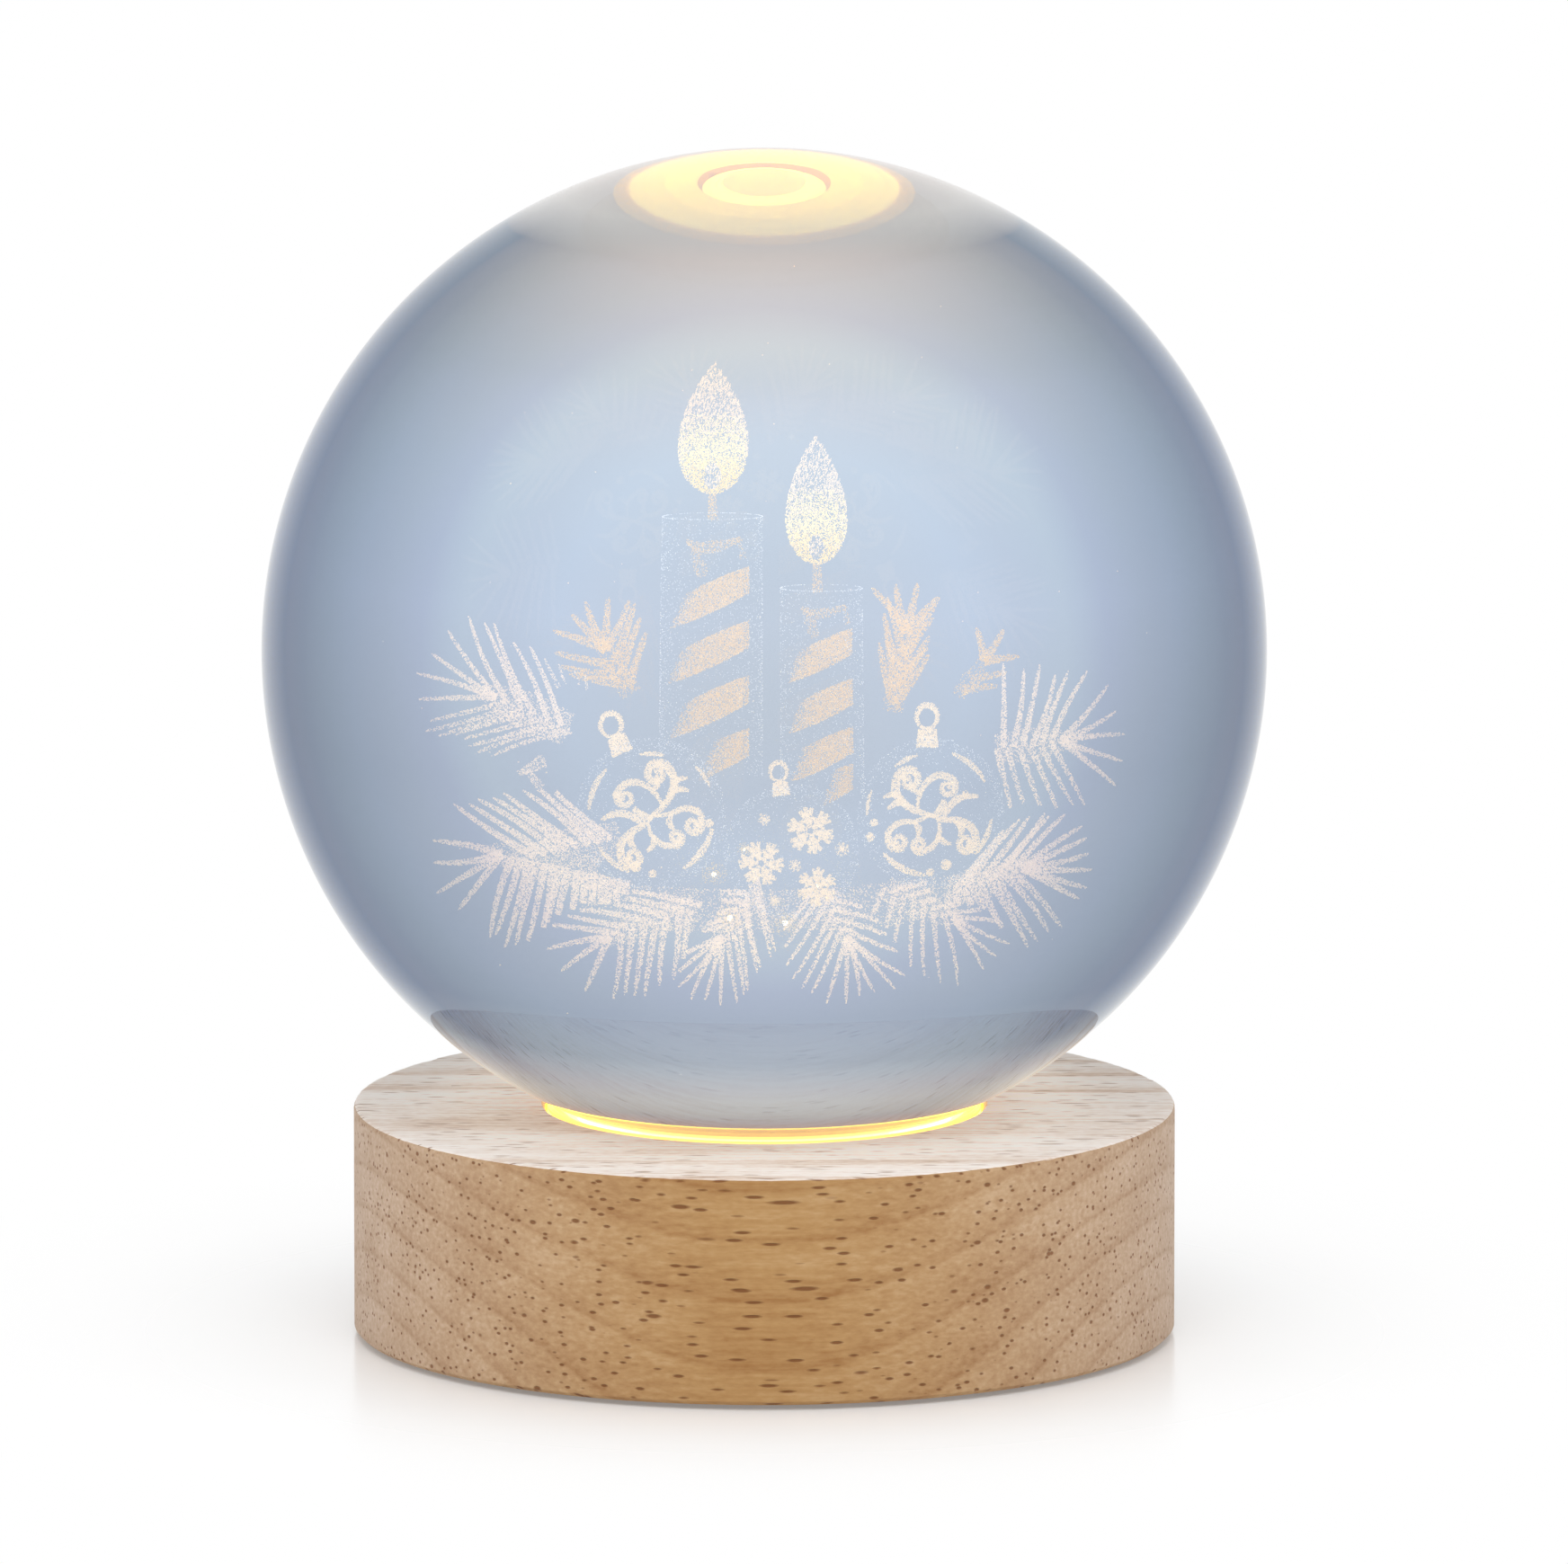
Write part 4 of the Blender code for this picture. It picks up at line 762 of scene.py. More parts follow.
def turned_base(wood, lit_floor, lit_wall):
    """The turned block, with its top edge a little frayed by the lathe."""
    profile = [
        (FLANGE_BORE, POCKET_TOP),
        (FLANGE_BORE, FLANGE_TOP),
        (LENS_BORE, FLANGE_TOP),
        (LENS_BORE, WELL_FLOOR),
        (LIT_RADIUS, WELL_FLOOR),
        (WELL_RADIUS, WELL_FLOOR),
        (WELL_RADIUS, GROOVE_FLOOR),
        (GROOVE_RADIUS, GROOVE_FLOOR),
        (GROOVE_RADIUS, WOOD_TOP - WOOD_EDGE),
        (GROOVE_RADIUS + WOOD_EDGE, WOOD_TOP),
        (BASE_RADIUS - 2 * WOOD_EDGE, WOOD_TOP),
        (BASE_RADIUS - WOOD_EDGE, WOOD_TOP),
        (BASE_RADIUS - WOOD_EDGE * 0.3, WOOD_TOP - WOOD_EDGE * 0.3),
        (BASE_RADIUS, WOOD_TOP - WOOD_EDGE),
        (BASE_RADIUS, WOOD_TOP - 2 * WOOD_EDGE),
        (BASE_RADIUS, WOOD_BOTTOM + WOOD_EDGE),
        (BASE_RADIUS - WOOD_EDGE, WOOD_BOTTOM),
        (RECESS_RADIUS, WOOD_BOTTOM),
        (RECESS_RADIUS, LEDGE),
        (POCKET_RADIUS, LEDGE),
        (POCKET_RADIUS, POCKET_TOP),
    ]
    bm = bmesh.new()
    verts = [bm.verts.new((radius, 0.0, height)) for radius, height in profile]
    edges = [bm.edges.new(pair) for pair in zip(verts, verts[1:] + verts[:1])]
    bmesh.ops.spin(
        bm,
        geom=verts + edges,
        cent=(0.0, 0.0, 0.0),
        axis=(0.0, 0.0, 1.0),
        angle=math.tau,
        steps=BASE_STEPS,
        use_merge=True,
    )
    bmesh.ops.remove_doubles(bm, verts=bm.verts, dist=0.001 * MM)
    for vert in bm.verts:
        radius = math.hypot(vert.co.x, vert.co.y)
        if radius > BASE_RADIUS - 1.5 * WOOD_EDGE and vert.co.z > WOOD_TOP - 1.5 * WOOD_EDGE:
            fray = noise.noise(vert.co * per_mm(1.1)) + noise.noise(vert.co * per_mm(0.45))
            fray = max(0.0, fray * 0.5) * FRAY
            vert.co.z -= fray
            pull = 1.0 - fray * 0.7 / radius
            vert.co.x *= pull
            vert.co.y *= pull
    bmesh.ops.recalc_face_normals(bm, faces=bm.faces)
    # the well's floor and wall take the lamplit wood, whose glow is painted
    for face in bm.faces:
        middle = face.calc_center_median()
        radius = math.hypot(middle.x, middle.y)
        if radius < LIT_RADIUS and middle.z > FLANGE_TOP + 0.1 * MM:
            face.material_index = 1
        elif radius < GROOVE_RADIUS - MM and WELL_FLOOR - 0.1 * MM < middle.z < WOOD_TOP - MM:
            face.material_index = 2
    looks = [wood, lit_floor, lit_wall]
    base = piece("turned_base", bm, looks, "base", ["wooden_base"])
    for number, cutter in enumerate(base_cutters()):
        bmesh.ops.recalc_face_normals(cutter, faces=cutter.faces)
        tool = thing(f"base_cutter_{number}", cutter)
        cut = base.modifiers.new(tool.name, "BOOLEAN")
        cut.operation = "DIFFERENCE"
        cut.solver = "EXACT"
        cut.object = tool
    solid = applied(base)
    for cut in list(base.modifiers):
        tool = cut.object
        base.modifiers.remove(cut)
        bpy.data.objects.remove(tool)
    old = base.data
    base.data = solid
    bpy.data.meshes.remove(old)
    solid.name = "turned_base"
    solid.shade_smooth()
    solid.set_sharp_from_angle(angle=math.radians(35))


def return_spring(steel):
    """The switch's spring, one coiled wire."""
    low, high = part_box("switch_spring")
    start = Vector(((low.x + high.x) / 2, low.y + SPRING_WIRE, (low.z + high.z) / 2))
    out = (high.x - low.x) / 2 - SPRING_WIRE
    steps = round(SPRING_TURNS * SPRING_STEPS)
    rise = (high.y - low.y - 2 * SPRING_WIRE) / steps
    bm = bmesh.new()
    place = Matrix.Translation(start + Vector((out, 0.0, 0.0)))
    bmesh.ops.create_circle(bm, segments=WIRE_SIDES, radius=SPRING_WIRE, matrix=place)
    bmesh.ops.spin(
        bm,
        geom=bm.verts[:] + bm.edges[:],
        cent=start,
        axis=(0.0, 1.0, 0.0),
        dvec=(0.0, rise, 0.0),
        angle=math.tau * SPRING_TURNS,
        steps=steps,
    )
    bmesh.ops.holes_fill(bm, edges=[edge for edge in bm.edges if edge.is_boundary], sides=0)
    bmesh.ops.recalc_face_normals(bm, faces=bm.faces)
    spring = piece("return_spring", bm, [steel], "base", ["switch_spring"])
    spring.data.shade_smooth()
    spring.data.set_sharp_from_angle(angle=math.radians(50))
    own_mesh(spring)


# The ball


def glass_ball(glass):
    """The solid ball, ground true and polished."""
    bm = bmesh.new()
    bmesh.ops.create_icosphere(
        bm, subdivisions=7, radius=BALL_RADIUS, matrix=Matrix.Translation(BALL_MIDDLE)
    )
    ball = piece("glass_ball", bm, [glass], "ball", ["crystal_ball"])
    ball.data.shade_smooth()


# The picture engraved in the glass, a common Christmas still life. It is drawn in the
# photograph's pixels and set in the ball where it shows there. Depths are in millimetres
# behind the ball's middle.

random_draw = random.Random(11)


def inside(px, py, depth):
    """The place in the glass that shows at a pixel, for a thing at that depth."""
    depth *= MM
    nearer = -depth / BALL_RADIUS
    magnified = GLASS_IOR / (1 + (GLASS_IOR - 1) * nearer)
    per_pixel = MM / PIXELS_PER_MM / magnified
    right = (px - BALL_PIXEL[0]) * per_pixel
    up = (BALL_PIXEL[1] - py) * per_pixel
    height = (up - depth * math.sin(CAMERA_ELEVATION)) / math.cos(CAMERA_ELEVATION)
    return Vector((right, depth, height)) + BALL_MIDDLE


def magnified_size(pixels, depth):
    """The real size, in millimetres, of what shows as that many pixels at that depth."""
    nearer = -depth * MM / BALL_RADIUS
    return pixels / PIXELS_PER_MM * (1 + (GLASS_IOR - 1) * nearer) / GLASS_IOR


def jitter(size):
    """A random step of up to that size, either way."""
    return random_draw.uniform(-size, size)


def stroke(dots, points, wide, density, grain=0.0):
    """Dots along a line of (px, py, depth) points. wide gives its width at each point, and
    grain breaks it into blobs."""
    for i in range(len(points) - 1):
        (ax, ay, ad), (bx, by, bd) = points[i], points[i + 1]
        wa, wb = wide[i], wide[i + 1]
        length = math.hypot(bx - ax, by - ay)
        if length == 0.0:
            continue
        sx, sy = (ay - by) / length, (bx - ax) / length
        count = density * length * (wa + wb) / 2
        count = int(count) + (random_draw.random() < count % 1.0)
        for _ in range(count):
            t = random_draw.random()
            off = jitter((wa + (wb - wa) * t) / 2)
            px, py = ax + (bx - ax) * t + sx * off, ay + (by - ay) * t + sy * off
            speck = noise.noise(Vector((px / BLOB_PIXELS, py / BLOB_PIXELS, 0.0)))
            if grain and speck < grain * 0.5 - 0.42:
                continue
            dots.append(inside(px, py, ad + (bd - ad) * t + jitter(0.12)))


def swelling(count, thick):
    """Widths that swell from a point and close again, as a pen stroke does."""
    shares = [0.08 + 0.84 * i / (count - 1) for i in range(count)]
    return [thick * (0.2 + 0.85 * math.sin(math.pi * share)) for share in shares]


def around(px, py, out):
    """The pixel that far from another one, in a random direction."""
    turn = random_draw.uniform(0, math.tau)
    return px + out * math.cos(turn), py + out * math.sin(turn)


def blob(dots, px, py, reach, depth, density=0.8):
    """A round spot of dots."""
    for _ in range(int(density * math.pi * reach**2)):
        out = reach * math.sqrt(random_draw.random())
        dots.append(inside(*around(px, py, out), depth))


def flame(glow, amber, sparks, place, high, wide, depth):
    """A flame that burns dense and yellow round its wick, amber at its foot, and thins to
    white dashes at its tip."""
    cx, base = place
    for _ in range(int(high * wide * 1.05)):
        t = random_draw.random()
        half = wide / 2 * 2.6 * t**0.52 * (1 - t) ** 0.95
        off = jitter(wide / 2)
        if abs(off) > half:
            continue
        u = off / half
        px, py = cx + off, base - t * high
        front = depth - math.sqrt(max(0.0, 1 - u * u)) * magnified_size(half, depth) * jitter(1.0)
        gap = (off / (0.12 * wide)) ** 2 + ((py - base + 0.13 * high) / (0.095 * high)) ** 2
        core = 1.15 - 1.15 * max(0.0, (t - 0.2) / 0.42) ** 1.3
        core *= 1.0 - 0.45 * abs(u) ** 3
        if gap < 1.0:
            core = 0.1
        if random_draw.random() < core:
            foot = 0.95 - max(0.0, t - 0.1) / 0.22
            (amber if random_draw.random() < foot else glow).append(inside(px, py, front))
        elif random_draw.random() < 0.24 + 0.2 * abs(u) ** 3:
            for step in range(random_draw.choice((1, 2, 3))):
                sparks.append(inside(px + 0.3 * step, py - 1.3 * step, front))


def wick(dots, cx, top, bottom, depth):
    """The lit end of a wick, a little wider where it leaves the wax."""
    stroke(dots, [(cx, top, depth), (cx + 1, bottom, depth)], [9, 12], 0.62)


def candle(stripes, skin, axis, top, bottom, half, depth, bands, thick):
    """A candle with a faint dotted skin and bands that wind up round it to the right. Each
    band gives its height and how far round it starts."""
    radius = magnified_size(half, depth)

    def on_skin(u, py):
        """A place on the wax, u from -1 at its left edge to 1 at its right."""
        return inside(axis + half * u, py, depth - radius * math.sqrt(max(0.0, 1 - u * u)))

    for _ in range(int((bottom - top) * half * 0.16)):
        skin.append(on_skin(math.sin(jitter(math.pi / 2)), random_draw.uniform(top, bottom)))
    for _ in range(int(half * 4)):
        turn = random_draw.uniform(0, math.tau)
        skin.append(on_skin(math.sin(turn), top - 4 * math.cos(turn)))
    for middle, first in bands:
        for _ in range(int(thick * half * 2.6)):
            u = random_draw.uniform(-0.82, 0.74)
            off = jitter(0.5)
            py = middle - 0.46 * half * u + off * thick * (1.0 - 0.3 * u * u)
            fade = min(1.0, max(0.0, (u - first + 0.3 * off) / 0.55)) ** 0.8
            if random_draw.random() < fade * (1.0 if u < 0.62 else 0.6):
                stripes.append(on_skin(u, py))


def drip(dots, cx, top, half, depth):
    """Wax that has run over the rim and down the front."""
    front = depth - magnified_size(half, depth)
    size = half / 57
    for line, wide, density in (
        (((-32, 3), (-14, 11), (6, 8), (32, 0)), (5, 14 * size, 13 * size, 5), 0.55),
        (((-22, 8), (-19, 24), (-15, 36), (-14, 44)), (12, 13, 15 * size, 10), 0.38),
        (((28, 3), (31, 14), (32, 24)), (4, 6, 8), 0.3),
    ):
        stroke(dots, [(cx + x * size, top + y * size, front) for x, y in line], wide, density)


def bauble(shell, middle, radius, depth):
    """The faint dotted ball of an ornament. Returns the depth of its front at a pixel."""
    cx, cy = middle
    size = magnified_size(radius, depth)

    def front(px, py):
        """How deep the ornament's front lies at a pixel."""
        inner = 1 - ((px - cx) ** 2 + (py - cy) ** 2) / radius**2
        return depth - size * math.sqrt(max(0.0, inner))

    for _ in range(int(radius * 75)):
        px, py = cx + jitter(radius), cy + jitter(radius)
        share = math.hypot(px - cx, py - cy) / radius
        if share < 1.0 and random_draw.random() < 0.1 + 0.75 * share**7:
            shell.append(inside(px, py, front(px, py)))
    return front


def cap_and_ring(dots, foot, lean, size, depth):
    """The metal cap of an ornament, with its wire ring, leaning to one side."""
    fx, fy = foot
    ux, uy = math.sin(lean), -math.cos(lean)
    head = (fx + ux * 20 * size, fy + uy * 20 * size, depth)
    stroke(dots, [(fx, fy, depth), head], [25 * size, 21 * size], 1.6)
    eye = (fx + ux * 34 * size, fy + uy * 34 * size)
    ring, wide = [], []
    for i in range(25):
        angle = math.tau * i / 24
        x, y = eye[0] + 12 * size * math.cos(angle), eye[1] + 13 * size * math.sin(angle)
        ring.append((x, y, depth))
        wide.append(size * (5.0 - 1.6 * math.sin(angle)))
    stroke(dots, ring, wide, 1.4)


def scrollwork(dots, middle, radius, front, flip, tilt):
    """Leafy scrolls that part from the middle of the ornament's front."""
    cx, cy = middle

    def along(points, thick, density=1.5):
        """A pen stroke through places given as shares of the radius."""
        placed_points = []
        for x, y in points:
            turned_x = x * math.cos(tilt) - y * math.sin(tilt)
            turned_y = x * math.sin(tilt) + y * math.cos(tilt)
            px, py = cx + flip * turned_x * radius, cy - turned_y * radius
            placed_points.append((px, py, front(px, py)))
        stroke(dots, placed_points, swelling(len(points), thick), density)
        return placed_points[-1]

    def bend(start, end, rise, thick):
        """A bowed stroke between two places."""
        (ax, ay), (bx, by) = start, end
        points = []
        for i in range(13):
            t = i / 12
            lift = rise * math.sin(math.pi * t)
            x, y = ax + (bx - ax) * t - (by - ay) * lift, ay + (by - ay) * t + (bx - ax) * lift
            points.append((x, y))
        return along(points, thick)

    def flow(b, h, n, a, s):
        """Between two values, smoothly past the ones before and after."""
        curve = (2 * b - 5 * h + 4 * n - a) * s * s + (3 * h - b - 3 * n + a) * s**3
        return 0.5 * (2 * h + (n - b) * s + curve)

    def vine(points, thick, wind, size):
        """A stroke that flows through its places and curls into an eye at its end."""
        path = []
        for i in range(len(points) - 1):
            before, here = points[max(0, i - 1)], points[i]
            there, after = points[i + 1], points[min(len(points) - 1, i + 2)]
            for step in range(8):
                s = step / 8
                path.append(tuple(flow(*four, s) for four in zip(before, here, there, after)))
        (ax, ay), (bx, by) = path[-1], points[-1]
        heading = math.atan2(by - ay, bx - ax)
        side = heading - wind * math.pi / 2
        eye = (bx + size * math.cos(side), by + size * math.sin(side))
        for step in range(27):
            s = step / 26
            angle = side + math.pi - wind * math.radians(400) * s
            reach = size * (1 - 0.62 * s**0.8)
            path.append((eye[0] + reach * math.cos(angle), eye[1] + reach * math.sin(angle)))
        px, py, depth = along(path, thick)
        blob(dots, px, py, thick * 0.62, depth, 1.1)

    for thick, wind, size, points in VINES:
        vine(points, thick, wind, size)
    for start, end, rise, thick in LEAVES:
        bend(start, end, rise, thick)
    for x, y, reach in BERRIES:
        px, py = cx + flip * x * radius, cy - y * radius
        blob(dots, px, py, reach, front(px, py), 1.5)
    for first, last, share, thick in RIM_ARCS:
        points = []
        for i in range(13):
            angle = math.radians(first + (last - first) * i / 12)
            points.append((share * math.cos(angle), share * math.sin(angle)))
        along(points, thick, 1.2)


def snowflake(dots, middle, reach, turn, front):
    """Six broad arms with notched ends."""
    cx, cy = middle
    for arm in range(6):
        angle = turn + arm * math.pi / 3
        ux, uy = math.cos(angle), math.sin(angle)

        def at(along, across):
            """A place along the arm and across it, as shares of its reach."""
            px = cx + reach * (along * ux - across * uy)
            py = cy + reach * (along * uy + across * ux)
            return (px, py, front(px, py))

        stem = [at(0.14, 0), at(0.45, 0), at(0.74, 0)]
        stroke(dots, stem, [0.16 * reach, 0.3 * reach, 0.46 * reach], 1.6)
        for side in (-1, 0, 1):
            tip = [at(0.66, side * 0.12), at(1.02 - 0.1 * abs(side), side * 0.27)]
            stroke(dots, tip, [0.22 * reach, 0.15 * reach], 1.6)
            if side:
                notch = [at(0.36, 0), at(0.52, side * 0.27)]
                stroke(dots, notch, [0.18 * reach, 0.15 * reach], 1.5)


def star(dots, middle, reach, front):
    """A small star of four crossed lines."""
    cx, cy = middle
    for arm in range(4):
        angle = arm * math.pi / 4 + 0.2
        dx, dy = reach * math.cos(angle), reach * math.sin(angle)
        line = [(cx - dx, cy - dy, front(cx, cy)), (cx + dx, cy + dy, front(cx, cy))]
        stroke(dots, line, [2.8, 2.8], 0.9)


def off_stem(x, y, foot, tip):
    """How far a place is from a stem."""
    place, start, end = Vector((x, y)), Vector(foot), Vector(tip)
    share = (place - start).dot(end - start) / (end - start).length_squared
    return (place - start - (end - start) * min(1.0, max(0.0, share))).length


def sprig(dots, kind, depth, neighbours=(), wide=7.0, density=1.6):
    """A fir sprig: needles slant off both sides of its stem and fan out at its tip, and end
    where they come nearer to a neighbour's stem. fan is how many, from which turn to which,
    and each side is how many, the turn of the first and the last, where on the stem they
    start and end, and how far they break into blobs."""
    foot, tip, reach, fan, sides = kind
    (ax, ay), (bx, by) = foot, tip
    heading = math.atan2(by - ay, bx - ax)

    def needle(t, turn, length, grain):
        """One needle that leaves the stem at a share of its length, bows and tapers."""
        px, py = ax + (bx - ax) * t, ay + (by - ay) * t
        angle = heading + math.radians(turn + jitter(2.0))
        length *= random_draw.uniform(0.88, 1.06)
        bow, lean = jitter(0.04), jitter(0.35)
        points, widths = [], []
        for i in range(13):
            s = i / 12
            x = px + length * (s * math.cos(angle) - bow * math.sin(math.pi * s) * math.sin(angle))
            y = py + length * (s * math.sin(angle) + bow * math.sin(math.pi * s) * math.cos(angle))
            own = off_stem(x, y, foot, tip)
            if i > 2 and any(off_stem(x, y, *other[:2]) + 2.0 < own for other in neighbours):
                break
            points.append((x, y, depth + lean * s))
            widths.append(wide * (1.0 - 0.55 * s**1.2) if i < 12 else wide * 0.16)
        stroke(dots, points, widths, density * (1.0 - 0.2 * grain), grain + 0.2)

    count, first, last = fan
    for i in range(count):
        needle(0.97, first + (last - first) * i / max(1, count - 1), reach * 0.92, 0.15)
    for count, first, last, low, high, grain in sides:
        for i in range(count):
            s = (i + 0.5) / count
            needle(low + (high - low) * s, first + (last - first) * s, reach, grain)
    # the needles' feet crowd together along the stem
    stem = [(ax, ay, depth), ((ax + bx) / 2, (ay + by) / 2, depth), (bx, by, depth)]
    stem.append((bx + 0.2 * reach * math.cos(heading), by + 0.2 * reach * math.sin(heading), depth))
    stroke(dots, stem, [reach * 0.34, reach * 0.44, reach * 0.26, reach * 0.08], density * 0.2, 0.2)


def crack_maker(size):
    """A node group that sets a tiny four sided crack, turned at random, on each point."""
    tree = bpy.data.node_groups.new("cracks", "GeometryNodeTree")
    tree.interface.new_socket("Geometry", in_out="INPUT", socket_type="NodeSocketGeometry")
    tree.interface.new_socket("Geometry", in_out="OUTPUT", socket_type="NodeSocketGeometry")
    dots = add(tree, "NodeGroupInput").outputs[0]
    crack = add(
        tree,
        "GeometryNodeMeshCone",
        {"Vertices": 3, "Radius Top": 0.0, "Radius Bottom": size * 0.62, "Depth": size},
    ).outputs["Mesh"]
    turn = add(
        tree,
        "FunctionNodeRandomValue",
        {0: (0.0, 0.0, 0.0), 1: (math.tau,) * 3},
        data_type="FLOAT_VECTOR",
    ).outputs[0]
    grow = add(tree, "FunctionNodeRandomValue", {2: 0.75, 3: 1.25}, data_type="FLOAT").outputs[1]
    set_out = add(
        tree,
        "GeometryNodeInstanceOnPoints",
        {"Points": dots, "Instance": crack, "Rotation": turn, "Scale": grow},
    ).outputs[0]
    real = add(tree, "GeometryNodeRealizeInstances", {"Geometry": set_out}).outputs[0]
    add(tree, "NodeGroupOutput", {0: real})
    return tree


def engrave(name, clouds, replaced=()):
    """Clouds of cracks, one at each dot, as one piece in the ball. Each cloud is its dots,
    its material and the size of its cracks."""
    joined = bmesh.new()
    looks = []
    for number, (dots, look, size) in enumerate(clouds):
        bm = bmesh.new()
        for dot in dots:
            bm.verts.new(dot)
        points = thing(name + "_dots", bm)
        points.modifiers.new("cracks", "NODES").node_group = crack_maker(size * MM)
        cracked = applied(points)
        cracked.polygons.foreach_set("material_index", [number] * len(cracked.polygons))
        joined.from_mesh(cracked)
        looks.append(look)
        bpy.data.objects.remove(points)
        bpy.data.meshes.remove(cracked)
    piece(name, joined, looks, "ball", replaced)


def picture():
    """Two candles among fir sprigs, with three ornaments in front."""
    cracks = {name: engraved(name, *light) for name, light in CRACK_GLOWS.items()}
    for name, fire, high, wide, axis, top, bottom, half, bands, thick, node in CANDLES:
        glow, foot, sparks, stripes, skin = [], [], [], [], []
        flame(glow, foot, sparks, fire, high, wide, CANDLE_DEPTH)
        wick(stripes, fire[0], fire[1], top + 5, CANDLE_DEPTH)
        candle(stripes, skin, axis, top, bottom, half, CANDLE_DEPTH, bands, thick)
        drip(stripes, axis + 3, top + 26 * half / 57, half, CANDLE_DEPTH)
        fires = ((glow, "yellow"), (foot, "amber"), (sparks, "white"))
        clouds = [(dots, cracks[kind], FLAME_CRACK) for dots, kind in fires]
        clouds.append((stripes, cracks["tan"], STRIPE_CRACK))
        clouds.append((skin, cracks["faint"], SKIN_CRACK))
        engrave(name, clouds, [node])

    for name, middle, radius, depth, flip, tilt, cap_foot, lean, size, node in BAUBLES:
        lines, shell = [], []
        front = bauble(shell, middle, radius, depth)
        cap_and_ring(lines, cap_foot, lean, size, depth)
        if flip:
            scrollwork(lines, middle, radius * 0.92, front, flip, tilt)
        else:
            for place, reach, turn in SNOWFLAKES:
                snowflake(lines, place, reach, turn, front)
            for place, reach in STARS:
                star(lines, place, reach, front)
        clouds = [(lines, cracks["cream"], LINE_CRACK), (shell, cracks["faint"], SHELL_CRACK)]
        engrave(name, clouds, [node])

    for number, kind in enumerate(SPRIGS, 1):
        cloud = []
        apart = [other for other in SPRIGS if math.dist(other[0], kind[0]) > 50]
        sprig(cloud, kind, FIR_DEPTH, apart, NEEDLE_WIDTHS[number - 1])
        if number == 1:
            for start, end, wide in BROKEN_NEEDLES:
                line = [(*start, FIR_DEPTH), (*end, FIR_DEPTH)]
                stroke(cloud, line, [wide * 0.4, wide], 0.9, 0.5)
        replaced = ["engraved_fir"] if number == 1 else []
        engrave(f"engraved_fir_{number}", [(cloud, cracks["white"], FIR_CRACK)], replaced)
    web, rear_fir = [], []
    line = [(px, py, FIR_DEPTH) for px, py, _ in WEB]
    stroke(web, line, [wide for _, _, wide in WEB], WEB_DENSITY, WEB_GRAIN)
    engrave("engraved_fir_web", [(web, cracks["white"], FIR_CRACK)])
    for kind in REAR_SPRIGS:
        sprig(rear_fir, kind, FIR_DEPTH, wide=REAR_WIDTH, density=REAR_DENSITY)
    engrave("engraved_fir_rear", [(rear_fir, cracks["tan"], REAR_CRACK)])

    # the LEDs' reflections as painted highlights, each with a painted amber halo, and stray cracks
    # as dust
    lights, halo, dust = [], [], []
    for px, py, reach in GLINTS:
        blob(lights, px, py, reach, MIDDLE_DEPTH, 1.2)
        for _ in range(int(reach * 90)):
            out = reach * 5.5 * random_draw.random() ** 1.3
            halo.append(inside(*around(px, py, out), MIDDLE_DEPTH))
    for _ in range(DUST_COUNT):
        out = DUST_REACH * math.sqrt(random_draw.random())
        dust.append(inside(*around(*DUST_MIDDLE, out), jitter(15)))
    clouds = [(lights, cracks["bright"], FIR_CRACK), (halo, cracks["amber"], HALO_CRACK)]
    clouds.append((dust, cracks["white"], DUST_CRACK))
    engrave("painted_glints_and_dust", clouds)


# Surroundings


def mirrored_too(tree, path, share):
    """That share of white, or all of it for what gloss and glass show."""
    for kind in ("Is Glossy Ray", "Is Transmission Ray"):
        share = add(tree, "Math", {0: share, 1: path[kind]}, operation="MAXIMUM").outputs[0]
    return share


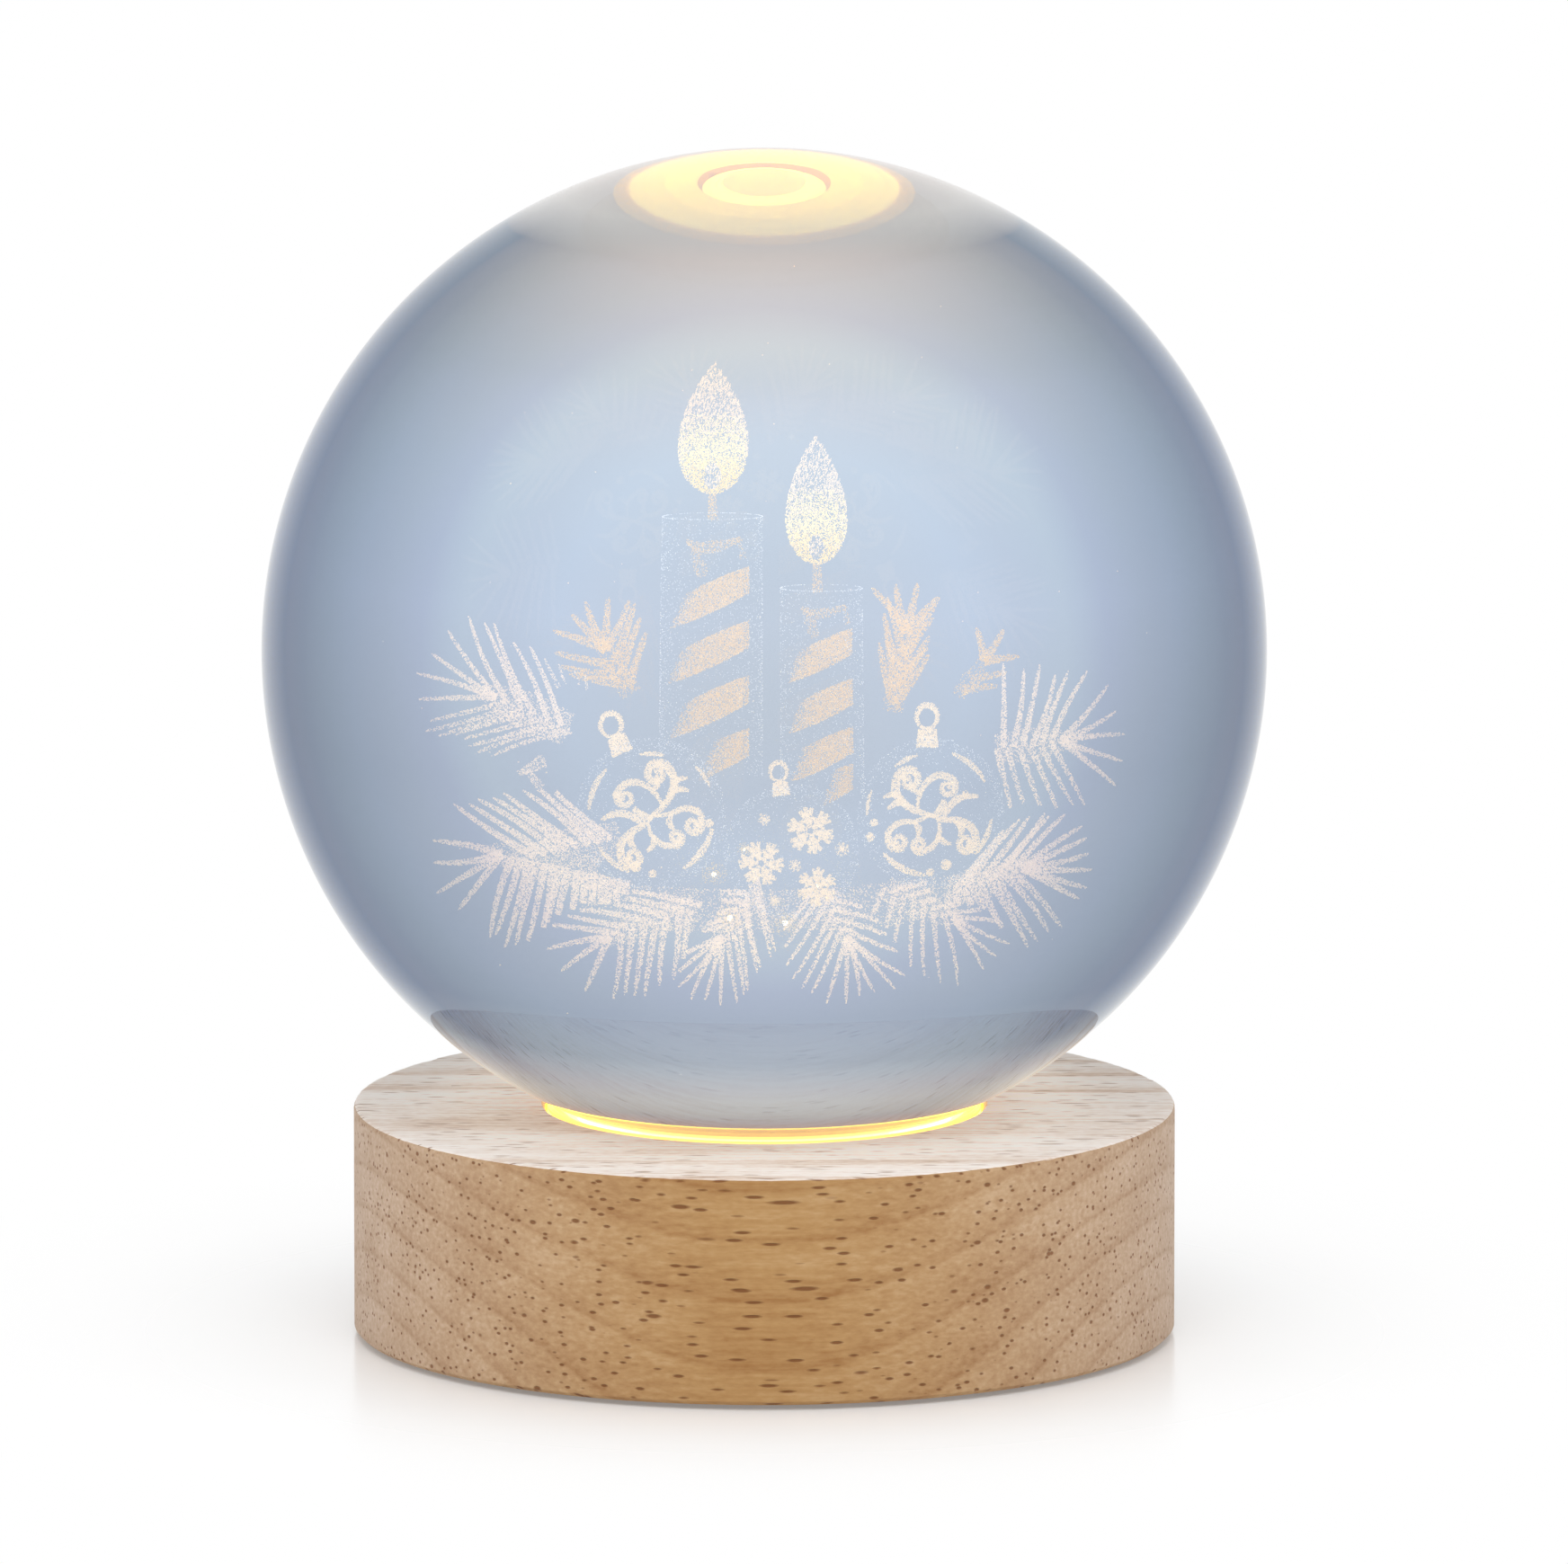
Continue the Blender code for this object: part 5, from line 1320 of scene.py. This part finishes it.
def studio():
    """A plain white floor and soft lamps."""
    look, tree, shader = fresh("white_studio_floor", {"Base Color": colour("F2F2F2")})
    away = add(tree, "VectorMath", {0: place_in(tree)}, operation="LENGTH").outputs["Value"]
    inputs = {"Value": away, "From Min": BASE_RADIUS, "From Max": BASE_RADIUS + FLOOR_FADE}
    beyond = add(tree, "MapRange", inputs).outputs[0]
    polish = add(tree, "MapRange", {"Value": beyond, "To Min": 0.14, "To Max": 0.5})
    finish_shader(tree, shader, roughness=polish.outputs[0])
    bright = add(tree, "ValToRGB", {"Fac": beyond}, FLOOR_SHARES).outputs["Color"]
    path = add(tree, "LightPath").outputs
    part = add(tree, "Math", {0: path["Is Camera Ray"], 1: bright}, operation="MULTIPLY")
    share = mirrored_too(tree, path, part.outputs[0])
    white = add(tree, "Emission", {"Color": colour("FFFFFF"), "Strength": 1.0}).outputs[0]
    mixed = add(tree, "MixShader", {0: share, 1: shader.outputs[0], 2: white})
    tree.links.new(mixed.outputs[0], tree.nodes["Material Output"].inputs["Surface"])
    bm = bmesh.new()
    bmesh.ops.create_grid(bm, x_segments=2, y_segments=2, size=2.5)
    floor = thing("floor", bm, [look])

    world = bpy.data.worlds.new("white_studio")
    scene.world = world
    world.use_nodes = True
    tree = world.node_tree
    tree.nodes.clear()
    path = add(tree, "LightPath").outputs
    seen = mirrored_too(tree, path, path["Is Camera Ray"])
    strength = add(tree, "MapRange", {"Value": seen, "To Min": SKY_LIGHT, "To Max": 1.0}).outputs[0]
    back = add(tree, "Background", {"Color": colour("FFFFFF"), "Strength": strength})
    add(tree, "OutputWorld", {"Surface": back.outputs[0]})

    for name, spot, size, watts in LAMPS:
        light = bpy.data.lights.new(name, "AREA")
        light.shape = "DISK"
        light.size = size
        light.energy = watts
        lamp = bpy.data.objects.new(name, light)
        lamp.location = spot
        towards = Vector((0.0, 0.0, 0.03)) - Vector(spot)
        lamp.rotation_euler = towards.to_track_quat("-Z", "Y").to_euler()
        lamp.visible_glossy = False
        lamp.visible_transmission = False
        scene.collection.objects.link(lamp)


def photo_camera():
    """A camera at the photograph's place, with its whole frame in view."""
    camera = bpy.data.cameras.new("photo_camera")
    camera.sensor_width = SENSOR / MM
    half_view = PHOTO_WIDTH / 2 / PIXELS_PER_MM * MM
    camera.lens = SENSOR / 2 / MM * CAMERA_DISTANCE / half_view
    camera.clip_start = 0.1
    camera.clip_end = 20.0
    eye = bpy.data.objects.new("photo_camera", camera)
    back = Vector((0.0, -math.cos(CAMERA_ELEVATION), math.sin(CAMERA_ELEVATION)))
    eye.location = CAMERA_AIM + back * CAMERA_DISTANCE
    eye.rotation_euler = (-back).to_track_quat("-Z", "Y").to_euler()
    scene.collection.objects.link(eye)
    scene.camera = eye


photo_camera()
studio()

steel = nickel_steel()
resistor_low, resistor_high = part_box("resistor_1")
resistor_middle = (resistor_low.x + resistor_high.x) / 2
resistor = tinned_part("glazed_resistor", "202022", resistor_middle, 0.7 * MM)
finishes = {
    "clear_silicone": clear_silicone(),
    "clear_acrylic": clear_acrylic(),
    "plated_steel": steel,
    "black_plastic": moulded("moulded_black_plastic", "232325", 0.5, 0.35, 0.02),
    "white_plastic": moulded("moulded_white_plastic", "ECEAE4", 0.4, 0.4, 0.004),
    "foam_rubber": moulded("die_cut_foam_rubber", "2C2C2E", 0.9, 0.5, 0.05),
    "green_board": solder_mask("green_lacquered_fibreglass_board", "1F5A3A", "2F7A50"),
    "white_board": solder_mask("white_lacquered_aluminium_board", "F2F1EA", "E2E0D6"),
    "warm_led": lit_phosphor("lit_led_phosphor", LED_LIGHT),
    "red_lead": lead_insulation("extruded_red_pvc", "B3201C"),
    "black_lead": lead_insulation("extruded_black_pvc", "1B1B1D"),
    "brown_ceramic": tinned_part("fired_ceramic_capacitor", "8A6E4E", 0.0, 1.15 * MM),
}
own = {
    "led_chip_2": lit_phosphor("brightest_led_phosphor", BRIGHTEST_LED_LIGHT),
    "resistor_1": resistor,
    "resistor_2": resistor,
    "resistor_3": resistor,
}

glass_ball(crystal_glass())
turned_base(
    rubberwood("turned_rubberwood"),
    rubberwood("lamplit_rubberwood_floor", LIT_FLOOR),
    rubberwood("lamplit_rubberwood_wall", LIT_WALL),
)
return_spring(steel)
picture()

for name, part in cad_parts.items():
    for place in part.material_slots:
        if place.material.name in finishes:
            place.material = own.get(name, finishes[place.material.name])
